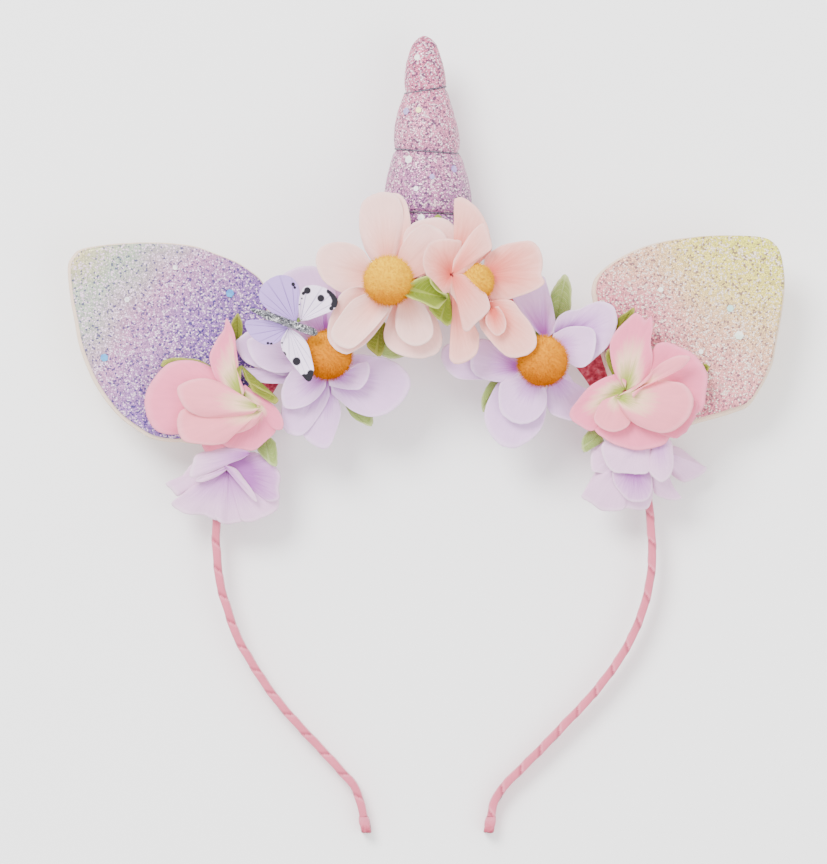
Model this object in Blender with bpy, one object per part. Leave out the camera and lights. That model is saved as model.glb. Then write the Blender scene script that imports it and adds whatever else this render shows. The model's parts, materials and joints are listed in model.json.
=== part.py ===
"""A unicorn horn headband: a ribbon-wrapped band with a stuffed glitter horn,
two glitter ears and a garland of cloth flowers with a butterfly.

Plan positions are read on a drawing sheet that looks straight at the front of
the band: one sheet unit is GRID metres, x to the right, y downwards. Depths
(z) are in millimetres from the middle of the band towards the wearer's front.
The whole assembly hangs under one empty, which lays it on its back.
"""

import math

import bmesh
import bpy
from mathutils import Vector

# ---------------------------------------------------------------- dimensions
GRID = 0.00028  # one sheet unit, m
SHEET_MIDDLE = (426.5, 434.5)  # sheet point that becomes x = 0, y = 0
MM = 0.001
BAND_DEPTH = 5.0  # mm, front to back
BAND_THICK = 2.6  # mm, radially, with its ribbon
CLOTH = 1.2  # mm, wall of petals and leaves
GAP = 0.35  # mm, clearance between touching pieces
STRIP_HALF = 4.6  # mm, half width of the backing strip
STRIP_THICK = 1.0  # mm
HORN_SIDES = 20
LEAN = math.radians(3.72)  # the band leans on the horn's back and its own tips
LIFT = 9.75  # mm, puts the lowest point on the floor
SHIFT_Y = 0.0

ARCH_MIDDLE = (1.96, -30.9)  # mm, centre of the arch's half ellipse
ARCH_RADII = (61.0, 75.0)  # mm
LEFT_LEG = [(-58.7, -33.5), (-57.7, -42.0), (-55.5, -49.6), (-53.0, -56.6), (-49.1, -63.6), (-44.6, -70.6), (-40.0, -76.6), (-34.3, -83.0), (-29.1, -88.5), (-23.9, -94.2), (-20.3, -98.4), (-18.6, -102.8), (-17.6, -107.0)]
RIGHT_LEG = [(63.1, -36.0), (61.7, -45.1), (58.9, -53.6), (55.0, -61.2), (50.5, -67.8), (45.0, -74.5), (38.9, -80.9), (32.8, -87.3), (27.4, -92.7), (21.6, -98.6), (19.0, -102.8), (18.0, -107.0)]

# Horn: height along y (mm) and radius (mm), tip first. The three grooves are
# where the cord pulls the stuffed cloth in.
HORN_PROFILE = [(111.6, 1.0), (110.5, 2.3), (109.0, 3.5), (107.0, 4.1), (104.0, 5.1), (100.5, 5.7), (98.2, 5.75), (96.4, 5.2), (94.5, 6.4), (90.5, 7.8), (86.0, 8.9), (81.2, 9.2), (79.2, 8.6), (76.5, 10.2), (72.0, 11.4), (67.0, 12.2), (63.8, 12.2), (61.5, 11.3), (58.2, 12.4), (52.0, 12.9), (47.0, 12.5)]


def sheet(px, py, z=0.0):
    """A sheet point as metres in the assembly's own frame."""
    return Vector(((px - SHEET_MIDDLE[0]) * GRID, (SHEET_MIDDLE[1] - py) * GRID, z * MM))


def mm(x, y, z=0.0):
    return Vector((x * MM, y * MM, z * MM))


# ---------------------------------------------------------------- scene setup
for old in list(bpy.data.objects):
    bpy.data.objects.remove(old, do_unlink=True)

pose = bpy.data.objects.new("headband_pose", None)
pose.rotation_euler = (LEAN, 0.0, 0.0)
pose.location = (0.0, SHIFT_Y * MM, LIFT * MM)
bpy.context.scene.collection.objects.link(pose)


def material(name, colour, roughness=0.85, metallic=0.0):
    made = bpy.data.materials.new(name)
    made.use_nodes = True
    shader = made.node_tree.nodes["Principled BSDF"]
    shader.inputs["Base Color"].default_value = (*colour, 1.0)
    shader.inputs["Roughness"].default_value = roughness
    shader.inputs["Metallic"].default_value = metallic
    return made


def add(name, bm, look, smooth=True):
    """The bmesh as one named object under the pose empty."""
    bmesh.ops.recalc_face_normals(bm, faces=bm.faces)
    mesh = bpy.data.meshes.new(name)
    bm.to_mesh(mesh)
    bm.free()
    obj = bpy.data.objects.new(name, mesh)
    bpy.context.scene.collection.objects.link(obj)
    if smooth:
        mesh.shade_smooth()
        mesh.set_sharp_from_angle(angle=math.radians(40))
    mesh.materials.append(look)
    obj.parent = pose
    return obj


def fuse(name, pieces, look):
    """Joins closed pieces into one body with Boolean unions."""
    body = add(name, pieces[0], look)
    helpers = []
    for number, piece in enumerate(pieces[1:]):
        helper = add(f"{name}_join_{number}", piece, look)
        helper.hide_render = True
        helper.display_type = "WIRE"
        join = body.modifiers.new(f"join {number}", "BOOLEAN")
        join.operation = "UNION"
        join.solver = "MANIFOLD"  # the petals' walls cross at shallow angles
        join.object = helper
        helpers.append(helper)
    bpy.context.view_layer.update()
    joined = bpy.data.meshes.new_from_object(body.evaluated_get(bpy.context.evaluated_depsgraph_get()))
    body.modifiers.clear()
    body.data = joined
    for helper in helpers:
        bpy.data.objects.remove(helper, do_unlink=True)
    joined.set_sharp_from_angle(angle=math.radians(40))
    return body


# ---------------------------------------------------------------- shape tools
def loft(sections, closed_ends=True):
    """Bridges rings of equal length and caps both ends."""
    bm = bmesh.new()
    rings = [[bm.verts.new(p) for p in ring] for ring in sections]
    for low, high in zip(rings, rings[1:]):
        for i in range(len(low)):
            j = (i + 1) % len(low)
            bm.faces.new((low[i], low[j], high[j], high[i]))
    if closed_ends:
        bm.faces.new(rings[0][::-1])
        bm.faces.new(rings[-1])
    return bm


def petal(root, tip, width, z=(10.0, 10.0), belly=0.0, cup=0.0, bend=0.0, base=0.42, full=0.55, end=0.34, roll=0.0, thick=CLOTH, rows=3, cols=4):
    """A cloth petal seen in plan from root to tip (sheet units).

    width is its widest part, at the share `full` of its length; base is the
    root's share of that width; end rounds the tip; bend bows the midline
    sideways; z gives the root's and the tip's depth in mm, belly lifts the
    middle, cup lifts both long edges and roll tips the petal over sideways.
    """
    ax, ay = root
    bx, by = tip
    length = math.hypot(bx - ax, by - ay)
    ux, uy = (bx - ax) / length, (by - ay) / length
    sx, sy = -uy, ux

    def surface(u, v):
        if u < full:
            w = base + (1 - base) * math.sin(0.5 * math.pi * u / full)
        else:
            w = 1 - 0.2 * ((u - full) / (1 - full)) ** 2
        w *= 0.5 * width
        along = length * (u - end * v * v * u**3)
        side = v * w + bend * 4 * u * (1 - u)
        depth = z[0] + (z[1] - z[0]) * u + belly * 4 * u * (1 - u) + cup * v * v * math.sin(math.pi * min(1, u * 0.75 + 0.1)) + roll * v * u
        return sheet(ax + ux * along + sx * side, ay + uy * along + sy * side, depth)

    bm = bmesh.new()
    up = Vector((0, 0, 0.5 * thick * MM))
    grid = [[surface(i / rows, 2 * j / cols - 1) for j in range(cols + 1)] for i in range(rows + 1)]
    top = [[bm.verts.new(p + up) for p in row] for row in grid]
    low = [[bm.verts.new(p - up) for p in row] for row in grid]
    for i in range(rows):
        for j in range(cols):
            bm.faces.new((top[i][j], top[i][j + 1], top[i + 1][j + 1], top[i + 1][j]))
            bm.faces.new((low[i][j], low[i + 1][j], low[i + 1][j + 1], low[i][j + 1]))
    rim = [(0, j) for j in range(cols)] + [(i, cols) for i in range(rows)] + [(rows, cols - j) for j in range(cols)] + [(rows - i, 0) for i in range(rows)]
    for a, b in zip(rim, rim[1:] + rim[:1]):
        bm.faces.new((top[a[0]][a[1]], low[a[0]][a[1]], low[b[0]][b[1]], top[b[0]][b[1]]))
    return bm


def peg(start, end, radius, sides=8):
    """A round stem between two points given as (sheet x, sheet y, z mm)."""
    a, b = sheet(*start), sheet(*end)
    axis = (b - a).normalized()
    side = axis.orthogonal().normalized()
    other = axis.cross(side)
    ring = [math.cos(2 * math.pi * k / sides) * side * radius * MM + math.sin(2 * math.pi * k / sides) * other * radius * MM for k in range(sides)]
    return loft([[a + p for p in ring], [b + p for p in ring]])


def ball(middle, radius, squash=1.0):
    bm = bmesh.new()
    bmesh.ops.create_icosphere(bm, subdivisions=2, radius=radius * MM)
    centre = sheet(*middle)
    for vert in bm.verts:
        vert.co = centre + Vector((vert.co.x, vert.co.y, vert.co.z * squash))
    return bm


def plate(outline, middle, depth, thick, rings=(0.0, 0.5, 1.0), dish=0.0):
    """A thin plate with the given outline (sheet units), dished about its middle."""
    bm = bmesh.new()
    spread = max(math.dist(p, middle) for p in outline)

    def layer(offset):
        centre = bm.verts.new(sheet(*middle, depth + offset))
        loops = []
        for share in rings[1:]:
            loop = []
            for px, py in outline:
                x = middle[0] + (px - middle[0]) * share
                y = middle[1] + (py - middle[1]) * share
                loop.append(bm.verts.new(sheet(x, y, depth + offset + dish * (math.dist((x, y), middle) / spread) ** 2)))
            loops.append(loop)
        count = len(outline)
        for i in range(count):
            j = (i + 1) % count
            bm.faces.new((centre, loops[0][i], loops[0][j]))
            for inner, outer in zip(loops, loops[1:]):
                bm.faces.new((inner[i], outer[i], outer[j], inner[j]))
        return loops[-1]

    top, low = layer(0.5 * thick), layer(-0.5 * thick)
    for i in range(len(outline)):
        j = (i + 1) % len(outline)
        bm.faces.new((top[i], low[i], low[j], top[j]))
    return bm


def smooth_path(points, count):
    """Evenly spaced points on a Catmull-Rom curve through the given ones."""
    ends = [2 * Vector(points[0]) - Vector(points[1])] + [Vector(p) for p in points] + [2 * Vector(points[-1]) - Vector(points[-2])]
    fine = []
    for a, b, c, d in zip(ends, ends[1:], ends[2:], ends[3:]):
        for k in range(12):
            t = k / 12
            fine.append(0.5 * ((2 * b) + (c - a) * t + (2 * a - 5 * b + 4 * c - d) * t * t + (3 * b - a - 3 * c + d) * t**3))
    fine.append(ends[-2])
    runs = [0.0]
    for p, q in zip(fine, fine[1:]):
        runs.append(runs[-1] + (q - p).length)
    out, at = [], 0
    for k in range(count):
        want = runs[-1] * k / (count - 1)
        while at < len(fine) - 2 and runs[at + 1] < want:
            at += 1
        share = (want - runs[at]) / (runs[at + 1] - runs[at])
        out.append(fine[at].lerp(fine[at + 1], min(1, max(0, share))))
    return out


def arch(angle):
    """A point of the arch (mm) at an angle from +x about its centre."""
    return (ARCH_MIDDLE[0] + ARCH_RADII[0] * math.cos(angle), ARCH_MIDDLE[1] + ARCH_RADII[1] * math.sin(angle))


def arch_y(x):
    return ARCH_MIDDLE[1] + ARCH_RADII[1] * math.sqrt(max(0, 1 - ((x - ARCH_MIDDLE[0]) / ARCH_RADII[0]) ** 2))


def sweep(path, half_side, half_depth, z=0.0, corner=0.0, taper=None, outer=None):
    """A flat bar swept along a plan path (mm); outer(x) can narrow its outer side."""
    sections = []
    for i, p in enumerate(path):
        along = (path[min(i + 1, len(path) - 1)] - path[max(i - 1, 0)]).normalized()
        out = Vector((-along.y, along.x))
        s = half_side * (taper(i / (len(path) - 1)) if taper else 1.0)
        if corner:
            section = [(-s, -half_depth + corner), (-s + corner, -half_depth), (s - corner, -half_depth), (s, -half_depth + corner), (s, half_depth - corner), (s - corner, half_depth), (-s + corner, half_depth), (-s, half_depth - corner)]
        else:
            o = min(s, outer(p.x)) if outer else s
            section = [(-s, -half_depth), (o, -half_depth), (o, half_depth), (-s, half_depth)]
        sections.append([mm(p.x + out.x * a, p.y + out.y * a, z + b) for a, b in section])
    return loft(sections)


# ---------------------------------------------------------------- materials
RIBBON = material("ribbon pink", (0.87, 0.36, 0.42), 0.55)
RIBBON_END = material("ribbon end", (0.75, 0.22, 0.30), 0.6)
CRIMSON = material("backing crimson", (0.58, 0.12, 0.17), 0.9)
HORN = material("horn glitter", (0.80, 0.52, 0.66), 0.45)
EAR_LEFT = material("ear lilac glitter", (0.62, 0.52, 0.78), 0.45)
EAR_RIGHT = material("ear peach glitter", (0.93, 0.66, 0.60), 0.45)
EAR_BACK = material("ear back cream", (0.90, 0.80, 0.72), 0.8)
BLUSH = material("petal blush", (0.96, 0.76, 0.70), 0.85)
LILAC = material("petal lilac", (0.75, 0.60, 0.85), 0.85)
ROSE = material("petal rose pink", (0.93, 0.47, 0.55), 0.85)
LAVENDER = material("petal lavender", (0.80, 0.64, 0.86), 0.85)
GOLD = material("pompom gold", (0.95, 0.48, 0.02), 0.95)
LEAF = material("leaf green", (0.28, 0.42, 0.06), 0.8)
WING = material("wing white", (0.85, 0.80, 0.93), 0.8)
SILVER = material("silver glitter", (0.70, 0.70, 0.72), 0.35, 0.7)

# ---------------------------------------------------------------- the band
left_start = math.pi - math.asin((-26.2 - ARCH_MIDDLE[1]) / ARCH_RADII[1])
right_start = math.asin((-26.2 - ARCH_MIDDLE[1]) / ARCH_RADII[1])
arch_points = [arch(left_start + (right_start - left_start) * k / 22) for k in range(23)]
band_path = smooth_path(LEFT_LEG[::-1] + arch_points + RIGHT_LEG, 66)
add("band", sweep(band_path, 0.5 * BAND_THICK, 0.5 * BAND_DEPTH, corner=0.5), RIBBON)


def tip_block(name, x0, x1, lean, ragged):
    """The ribbon's end, folded and glued over the end of the band."""
    top, low = -107.7, -111.55
    half = 0.5 * (x1 - x0)
    middle = 0.5 * (x0 + x1)
    sections = []
    for share in (0.0, 0.3, 0.7, 1.0):
        y = top + (low - top) * share
        grow = 0.92 + 0.12 * math.sin(math.pi * share) + ragged * share
        cx = middle + lean * share
        sections.append([mm(cx + a * half * grow, y - 0.3 * share * a, b * 0.5 * BAND_DEPTH) for a, b in ((-1, -0.8), (-0.8, -1), (0.8, -1), (1, -0.8), (1, 0.8), (0.8, 1), (-0.8, 1), (-1, 0.8))])
    return add(name, loft(sections), RIBBON_END)


tip_block("band_tip_left", -18.9, -16.1, 0.7, 0.04)
tip_block("band_tip_right", 16.5, 19.4, -0.6, 0.12)

# ------------------------------------------------------ the backing strip
strip_path = smooth_path([arch(math.radians(161 - 4 * k)) for k in range(36)], 32)
add("backing_strip", sweep(strip_path, STRIP_HALF, 0.5 * STRIP_THICK, z=0.5 * BAND_DEPTH + GAP + 0.5 * STRIP_THICK, taper=lambda t: 0.72 + 0.28 * math.sin(math.pi * min(1, max(0, min(t, 1 - t) * 14)) / 2), outer=lambda x: 1.2 if abs(x - 1.0) < 15.5 else STRIP_HALF), CRIMSON)
STRIP_FRONT = 0.5 * BAND_DEPTH + GAP + STRIP_THICK

# ---------------------------------------------------------------- the horn
horn_rings = []
for height, radius in HORN_PROFILE:
    cx = -0.7 + (111.6 - height) * 0.024
    horn_rings.append([mm(cx + radius * math.cos(2 * math.pi * k / HORN_SIDES), height, radius * math.sin(2 * math.pi * k / HORN_SIDES)) for k in range(HORN_SIDES)])
base = []
for k in range(HORN_SIDES):  # the base follows the band's curve
    x = 0.4 + 12.3 * math.cos(2 * math.pi * k / HORN_SIDES)
    base.append(mm(x, arch_y(x) + 0.5 * BAND_THICK + GAP + 0.1, 12.3 * math.sin(2 * math.pi * k / HORN_SIDES)))
horn_rings[-1] = [mm(0.85 + 12.6 * math.cos(2 * math.pi * k / HORN_SIDES), 49.0, 12.6 * math.sin(2 * math.pi * k / HORN_SIDES)) for k in range(HORN_SIDES)]
horn_bm = loft(horn_rings + [base], closed_ends=False)
horn_bm.faces.new([v for v in horn_bm.verts][:HORN_SIDES][::-1])
horn_bm.verts.ensure_lookup_table()
last = horn_bm.verts[-HORN_SIDES:]
for k in range(HORN_SIDES // 2 - 1):  # strips across, each pair at one x
    a, b = k, k + 1
    quad = [last[a], last[b], last[(HORN_SIDES - b) % HORN_SIDES], last[(HORN_SIDES - a) % HORN_SIDES]]
    unique = []
    for vert in quad:
        if vert not in unique:
            unique.append(vert)
    horn_bm.faces.new(unique)
k = HORN_SIDES // 2 - 1
horn_bm.faces.new((last[k], last[k + 1], last[k + 2]))
add("horn", horn_bm, HORN)

# ---------------------------------------------------------------- the ears
LEFT_EAR = [(69.1, 267.8), (73.9, 256.7), (81.9, 250.3), (102.6, 246.3), (129.7, 243.9), (161.6, 243.6), (193.5, 247.1), (217.4, 255.1), (238.1, 263.8), (255.7, 275.8), (263.7, 285.4), (267.0, 300.0), (266.0, 325.0), (261.0, 350.0), (254.0, 375.0), (244.0, 400.0), (228.0, 425.0), (211.0, 440.0), (198.3, 443.2), (180.7, 441.6), (171.2, 441.6), (153.6, 438.4), (139.3, 430.5), (121.7, 417.7), (109.0, 403.4), (96.2, 384.2), (86.7, 363.5), (80.3, 344.4), (75.5, 318.9), (71.5, 296.5)]
RIGHT_EAR = [(593.0, 302.7), (591.5, 292.0), (593.8, 281.2), (599.9, 272.8), (613.7, 262.1), (630.5, 252.9), (648.9, 246.0), (671.8, 240.7), (702.5, 237.1), (725.4, 236.5), (748.4, 237.1), (763.7, 239.1), (772.9, 244.5), (779.0, 253.7), (782.8, 273.6), (782.8, 293.5), (779.8, 318.0), (775.2, 342.5), (771.3, 362.4), (766.7, 374.6), (757.6, 391.4), (746.8, 406.0), (733.1, 412.1), (710.1, 419.0), (693.3, 423.6), (678.0, 428.2), (655.0, 426.0), (632.0, 412.0), (613.0, 388.0), (601.0, 355.0), (595.0, 325.0)]


def inset(outline, middle, by):
    return [(x + (middle[0] - x) * by / math.dist((x, y), middle), y + (middle[1] - y) * by / math.dist((x, y), middle)) for x, y in outline]


def moved(outline, dx, dy):
    return [(x + dx, y + dy) for x, y in outline]


LEFT_EAR_MIDDLE, RIGHT_EAR_MIDDLE = (170.0, 340.0), (690.0, 330.0)
EAR_THICK = 1.1
ear_back = STRIP_FRONT + GAP + 0.5 * EAR_THICK
ear_front = ear_back + EAR_THICK + GAP
add("ear_left_back", plate(LEFT_EAR, LEFT_EAR_MIDDLE, ear_back, EAR_THICK, dish=0.0), EAR_BACK)
add("ear_left_front", plate(inset(moved(LEFT_EAR, 1.5, -1.5), LEFT_EAR_MIDDLE, 1.5), LEFT_EAR_MIDDLE, ear_front, EAR_THICK, dish=0.0), EAR_LEFT)
add("ear_right_back", plate(RIGHT_EAR, RIGHT_EAR_MIDDLE, ear_back, EAR_THICK, dish=0.0), EAR_BACK)
add("ear_right_front", plate(inset(moved(RIGHT_EAR, -1.0, -2.0), RIGHT_EAR_MIDDLE, 2.5), RIGHT_EAR_MIDDLE, ear_front, EAR_THICK, dish=0.0), EAR_RIGHT)
EAR_TOP = ear_front + 0.5 * EAR_THICK

# ---------------------------------------------------------------- flowers
# Each flower is a back row and a front row of petals fused at a round heart,
# with a stem that reaches the backing strip.


def flower(name, look, back, front, stem, heart_radius=2.6, front_heart=None, foot=None):
    """stem is (flower point, strip point); back and front are petal rows."""
    (hx, hy, hz), (sx, sy) = stem
    foot = (STRIP_FRONT if foot is None else foot) + GAP
    top = hz[1] - 1.0 - GAP if front else hz[0] + 1.4
    pieces = [peg((hx, hy, hz[0] - 1.6), (hx, hy, top), heart_radius, 10)]
    for number, row in enumerate(back):  # each root a little above the last
        lift = 0.11 * number
        pieces.append(petal(**{**row, "z": (row["z"][0] + lift, row["z"][1])}))
    pieces.append(peg((hx, hy, hz[0] - 0.5), (sx, sy, foot + 1.6), 1.4))
    pieces.append(peg((sx, sy, foot + 2.3), (sx, sy, foot), 1.8))
    fuse(f"{name}_back_petals", pieces, look)
    if front:
        fx, fy, fr = front_heart or (hx, hy, heart_radius)
        pieces = [peg((fx, fy, hz[1] - 1.0), (fx, fy, hz[1] + 1.0), fr, 10)]
        for number, row in enumerate(front):
            lift = 0.13 * number
            pieces.append(petal(**{**row, "z": (row["z"][0] + lift, row["z"][1])}))
        fuse(f"{name}_front_petals", pieces, look)


# Lilac daisies lie lowest, on the strip.
flower(
    "lilac_daisy_left", LILAC,
    back=[
        dict(root=(320, 345), tip=(309, 269), width=52, z=(9.6, 10.6), cup=1.0),
        dict(root=(336, 345), tip=(347, 287), width=34, z=(9.6, 9.8), cup=0.6),
        dict(root=(318, 362), tip=(236, 352), width=54, z=(9.6, 10.4), cup=1.2, bend=-3),
        dict(root=(326, 368), tip=(289, 436), width=50, z=(9.6, 9.2), belly=-0.4, cup=0.8),
        dict(root=(332, 370), tip=(324, 452), width=38, z=(9.6, 8.6), cup=0.6),
        dict(root=(336, 364), tip=(411, 386), width=60, z=(9.6, 10.2), cup=1.0),
    ],
    front=[
        dict(root=(320, 360), tip=(250, 349), width=40, z=(12.6, 13.4), cup=1.0),
        dict(root=(325, 366), tip=(292, 412), width=40, z=(12.6, 12.4), cup=0.8),
        dict(root=(332, 366), tip=(371, 378), width=28, z=(12.6, 13.6), cup=1.2),
    ],
    stem=((328, 357, (9.8, 12.6)), (318, 312)),
)
flower(
    "lilac_daisy_right", LILAC,
    back=[
        dict(root=(545, 352), tip=(533, 286), width=44, z=(9.6, 10.6), cup=0.8),
        dict(root=(548, 352), tip=(611, 309), width=50, z=(9.6, 12.0), cup=1.4),
        dict(root=(550, 368), tip=(582, 424), width=42, z=(9.6, 9.0), cup=0.3),
        dict(root=(538, 370), tip=(508, 447), width=58, z=(9.6, 9.4), cup=1.2),
        dict(root=(532, 362), tip=(440, 352), width=40, z=(9.6, 10.4), cup=1.0),
    ],
    front=[
        dict(root=(547, 358), tip=(594, 344), width=40, z=(12.8, 14.2), cup=1.0),
        dict(root=(539, 368), tip=(517, 424), width=44, z=(12.6, 12.6), cup=1.0),
    ],
    stem=((541, 361, (9.8, 12.6)), (539, 319)),
)
add("pompom_lilac_left", ball((328.2, 355.7, 18.3), 7.0, 0.6), GOLD)
add("pompom_lilac_right", ball((541.4, 361.7, 18.4), 7.2, 0.6), GOLD)

# Roses: wide outer petals, then curled inner ones over the heart.
flower(
    "rose_left", ROSE,
    back=[
        dict(root=(236, 398), tip=(148, 398), width=74, z=(13.5, 10.5), belly=1.0, cup=0.6, end=0.35),
        dict(root=(240, 396), tip=(229, 321), width=32, z=(13.5, 13.5), cup=1.6, end=0.6, base=0.5, full=0.45),
        dict(root=(250, 392), tip=(281, 424), width=40, z=(13.5, 12.4), cup=0.6),
        dict(root=(246, 402), tip=(262, 449), width=36, z=(13.5, 11.2), cup=0.4),
        dict(root=(240, 404), tip=(212, 450), width=46, z=(13.5, 10.4), cup=0.6),
    ],
    front=[
        dict(root=(252, 404), tip=(180, 430), width=38, z=(17.2, 16.0), belly=1.2, cup=-0.6),
        dict(root=(256, 398), tip=(180, 394), width=38, z=(17.2, 17.0), belly=2.4, cup=-1.0, bend=4),
    ],
    stem=((243, 398, (13.5, 17.0)), (252, 390)),
    foot=EAR_TOP,
)
flower(
    "rose_right", ROSE,
    back=[
        dict(root=(632, 384), tip=(639, 316), width=42, z=(13.5, 14.0), cup=1.6, end=0.4),
        dict(root=(640, 386), tip=(700, 366), width=70, z=(13.5, 12.0), belly=1.2, cup=0.8, bend=-4),
        dict(root=(626, 388), tip=(571, 420), width=42, z=(13.5, 13.2), cup=0.8),
        dict(root=(632, 394), tip=(630, 448), width=72, z=(13.5, 13.4), cup=0.6),
        dict(root=(638, 392), tip=(684, 424), width=50, z=(13.5, 13.2), cup=0.4),
    ],
    front=[
        dict(root=(624, 394), tip=(691, 416), width=44, z=(17.4, 17.0), belly=2.0, cup=-0.8),
        dict(root=(626, 390), tip=(606, 436), width=36, z=(17.4, 16.6), belly=1.0, cup=-0.4),
        dict(root=(634, 386), tip=(688, 361), width=18, z=(17.2, 18.6), belly=1.0, cup=1.2, base=0.6),
    ],
    stem=((632, 388, (13.5, 17.0)), (624, 384)),
    foot=EAR_TOP,
)

# Lavender bells close the garland on each side and drape back past the band.
flower(
    "lavender_left", LAVENDER,
    back=[
        dict(root=(232, 466), tip=(168, 484), width=32, z=(8.4, -8.0), belly=3.2, cup=0.4, end=0.6, cols=3),
        dict(root=(228, 472), tip=(176, 504), width=38, z=(8.4, 4.4), belly=0.6, cup=0.4, cols=3),
        dict(root=(228, 472), tip=(226, 524), width=34, z=(8.4, 4.8), belly=0.6, cup=0.3, cols=3),
        dict(root=(230, 470), tip=(274, 512), width=48, z=(8.4, 5.2), belly=0.6, cup=0.4, cols=3),
        dict(root=(230, 466), tip=(281, 480), width=44, z=(8.4, 6.2), belly=0.6, cup=0.6, cols=3),
    ],
    front=[
        dict(root=(248, 462), tip=(194, 478), width=38, z=(11.4, 10.2), belly=0.6, cup=-0.6),
        dict(root=(232, 468), tip=(266, 470), width=28, z=(11.4, 10.8), belly=0.4, cup=0.6),
    ],
    stem=((230, 468, (8.4, 11.4)), (223, 457)),
)
flower(
    "lavender_right", LAVENDER,
    back=[
        dict(root=(650, 456), tip=(705, 469), width=34, z=(8.4, -8.0), belly=3.2, cup=0.4, end=0.5),
        dict(root=(648, 462), tip=(680, 498), width=32, z=(8.4, 4.6), belly=0.6, cup=0.4),
        dict(root=(640, 460), tip=(634, 509), width=56, z=(8.4, 5.0), belly=0.8, cup=0.4),
        dict(root=(634, 456), tip=(583, 499), width=40, z=(8.4, 5.4), belly=0.6, cup=0.4),
        dict(root=(636, 452), tip=(590, 458), width=34, z=(8.4, 7.4), belly=0.4, cup=0.4),
    ],
    front=[
        dict(root=(636, 448), tip=(624, 476), width=52, z=(11.4, 10.6), belly=0.8, cup=-0.8, base=0.8),
        dict(root=(651, 452), tip=(663, 483), width=29, z=(11.6, 11.0), belly=0.9, cup=-0.5, base=0.66),
    ],
    stem=((642, 456, (8.4, 11.4)), (643, 446)),
)

# Blush daisies stand in front of the horn's foot.
flower(
    "blush_daisy_left", BLUSH,
    back=[
        dict(root=(392, 275), tip=(383, 194), width=44, z=(20.6, 17.4), cup=0.8),
        dict(root=(384, 282), tip=(316, 264), width=46, z=(20.6, 20.4), cup=1.0),
        dict(root=(384, 288), tip=(333, 351), width=50, z=(20.6, 23.6), cup=1.2),
        dict(root=(398, 290), tip=(418, 357), width=58, z=(20.6, 18.6), cup=1.0),
        dict(root=(398, 280), tip=(441, 223), width=52, z=(20.6, 18.0), cup=0.6, bend=2),
    ],
    front=[
        dict(root=(386, 288), tip=(340, 344), width=37, z=(24.2, 27.2), cup=0.8),
        dict(root=(398, 288), tip=(412, 344), width=40, z=(23.8, 23.4), cup=0.8),
    ],
    stem=((391, 283, (20.6, 23.6)), (391, 288)),
)
add("pompom_blush_left", ball((388.7, 282.8, 29.9), 7.0, 0.7), GOLD)
flower(
    "blush_daisy_right", BLUSH,
    back=[
        dict(root=(474, 282), tip=(466, 202), width=36, z=(24.4, 22.0), cup=0.6, bend=-6),
        dict(root=(466, 288), tip=(440, 242), width=38, z=(24.4, 24.0), cup=0.6),
        dict(root=(478, 284), tip=(541, 270), width=60, z=(24.4, 23.0), cup=1.0),
        dict(root=(480, 292), tip=(531, 350), width=48, z=(24.4, 23.6), cup=0.8),
        dict(root=(472, 294), tip=(459, 363), width=32, z=(24.4, 21.4), cup=0.8),
    ],
    front=[
        dict(root=(459, 280), tip=(486, 234), width=21, z=(27.8, 26.8), cup=0.6, base=0.3),
        dict(root=(456, 284), tip=(471, 331), width=34, z=(27.8, 27.0), belly=1.4, cup=-0.8, base=0.5),
    ],
    stem=((465, 285, (24.4, 27.6)), (464, 289)),
    heart_radius=2.2,
    front_heart=(457, 284, 1.5),
)
add("pompom_blush_right", ball((486.0, 279.0, 28.3), 3.8, 0.66), GOLD)

# ---------------------------------------------------------------- butterfly
wings = [
    petal(root=(299, 320), tip=(268, 281), width=36, z=(22.6, 24.6), cup=0.3, base=0.3, thick=1.0),
    petal(root=(300, 320), tip=(334, 298), width=30, z=(22.6, 24.8), cup=0.3, base=0.3, end=0.2, thick=1.0),
    petal(root=(290, 328), tip=(252, 328), width=28, z=(22.6, 23.8), cup=0.3, base=0.4, thick=1.0),
    petal(root=(290, 328), tip=(308, 378), width=26, z=(22.6, 25.2), cup=0.2, base=0.3, end=0.4, thick=1.0),
    peg((294, 324, 22.0), (294, 324, 23.2), 2.0),
    peg((296, 324, 22.6), (305, 318, 11.9), 0.8, 6),
]
fuse("butterfly_wings", wings, WING)
body = []
for share, radius in ((0.0, 0.35), (0.12, 0.8), (0.4, 1.1), (0.9, 1.1), (1.0, 0.8)):
    middle = sheet(252.3 + 66.6 * share, 310.6 + 24.4 * share, 25.5 + 0.3 * share)
    across = Vector((24.4, 66.6, 0)).normalized()
    body.append([middle + across * (radius * MM * math.cos(math.pi * k / 4)) + Vector((0, 0, radius * MM * math.sin(math.pi * k / 4))) for k in range(8)])
add("butterfly_body", loft(body), SILVER)
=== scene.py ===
# %% [markdown]
# # A unicorn horn headband, dressed in cloth, ribbon and glitter
# The imported model gives the frame: every solid already lies where it belongs.
# This lesson puts the real surfaces on it, piece by piece. We load the frame
# first.

# %% Load the frame
import json
import math
import random

import bmesh
import bpy
from mathutils import Matrix, Vector, noise

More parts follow.
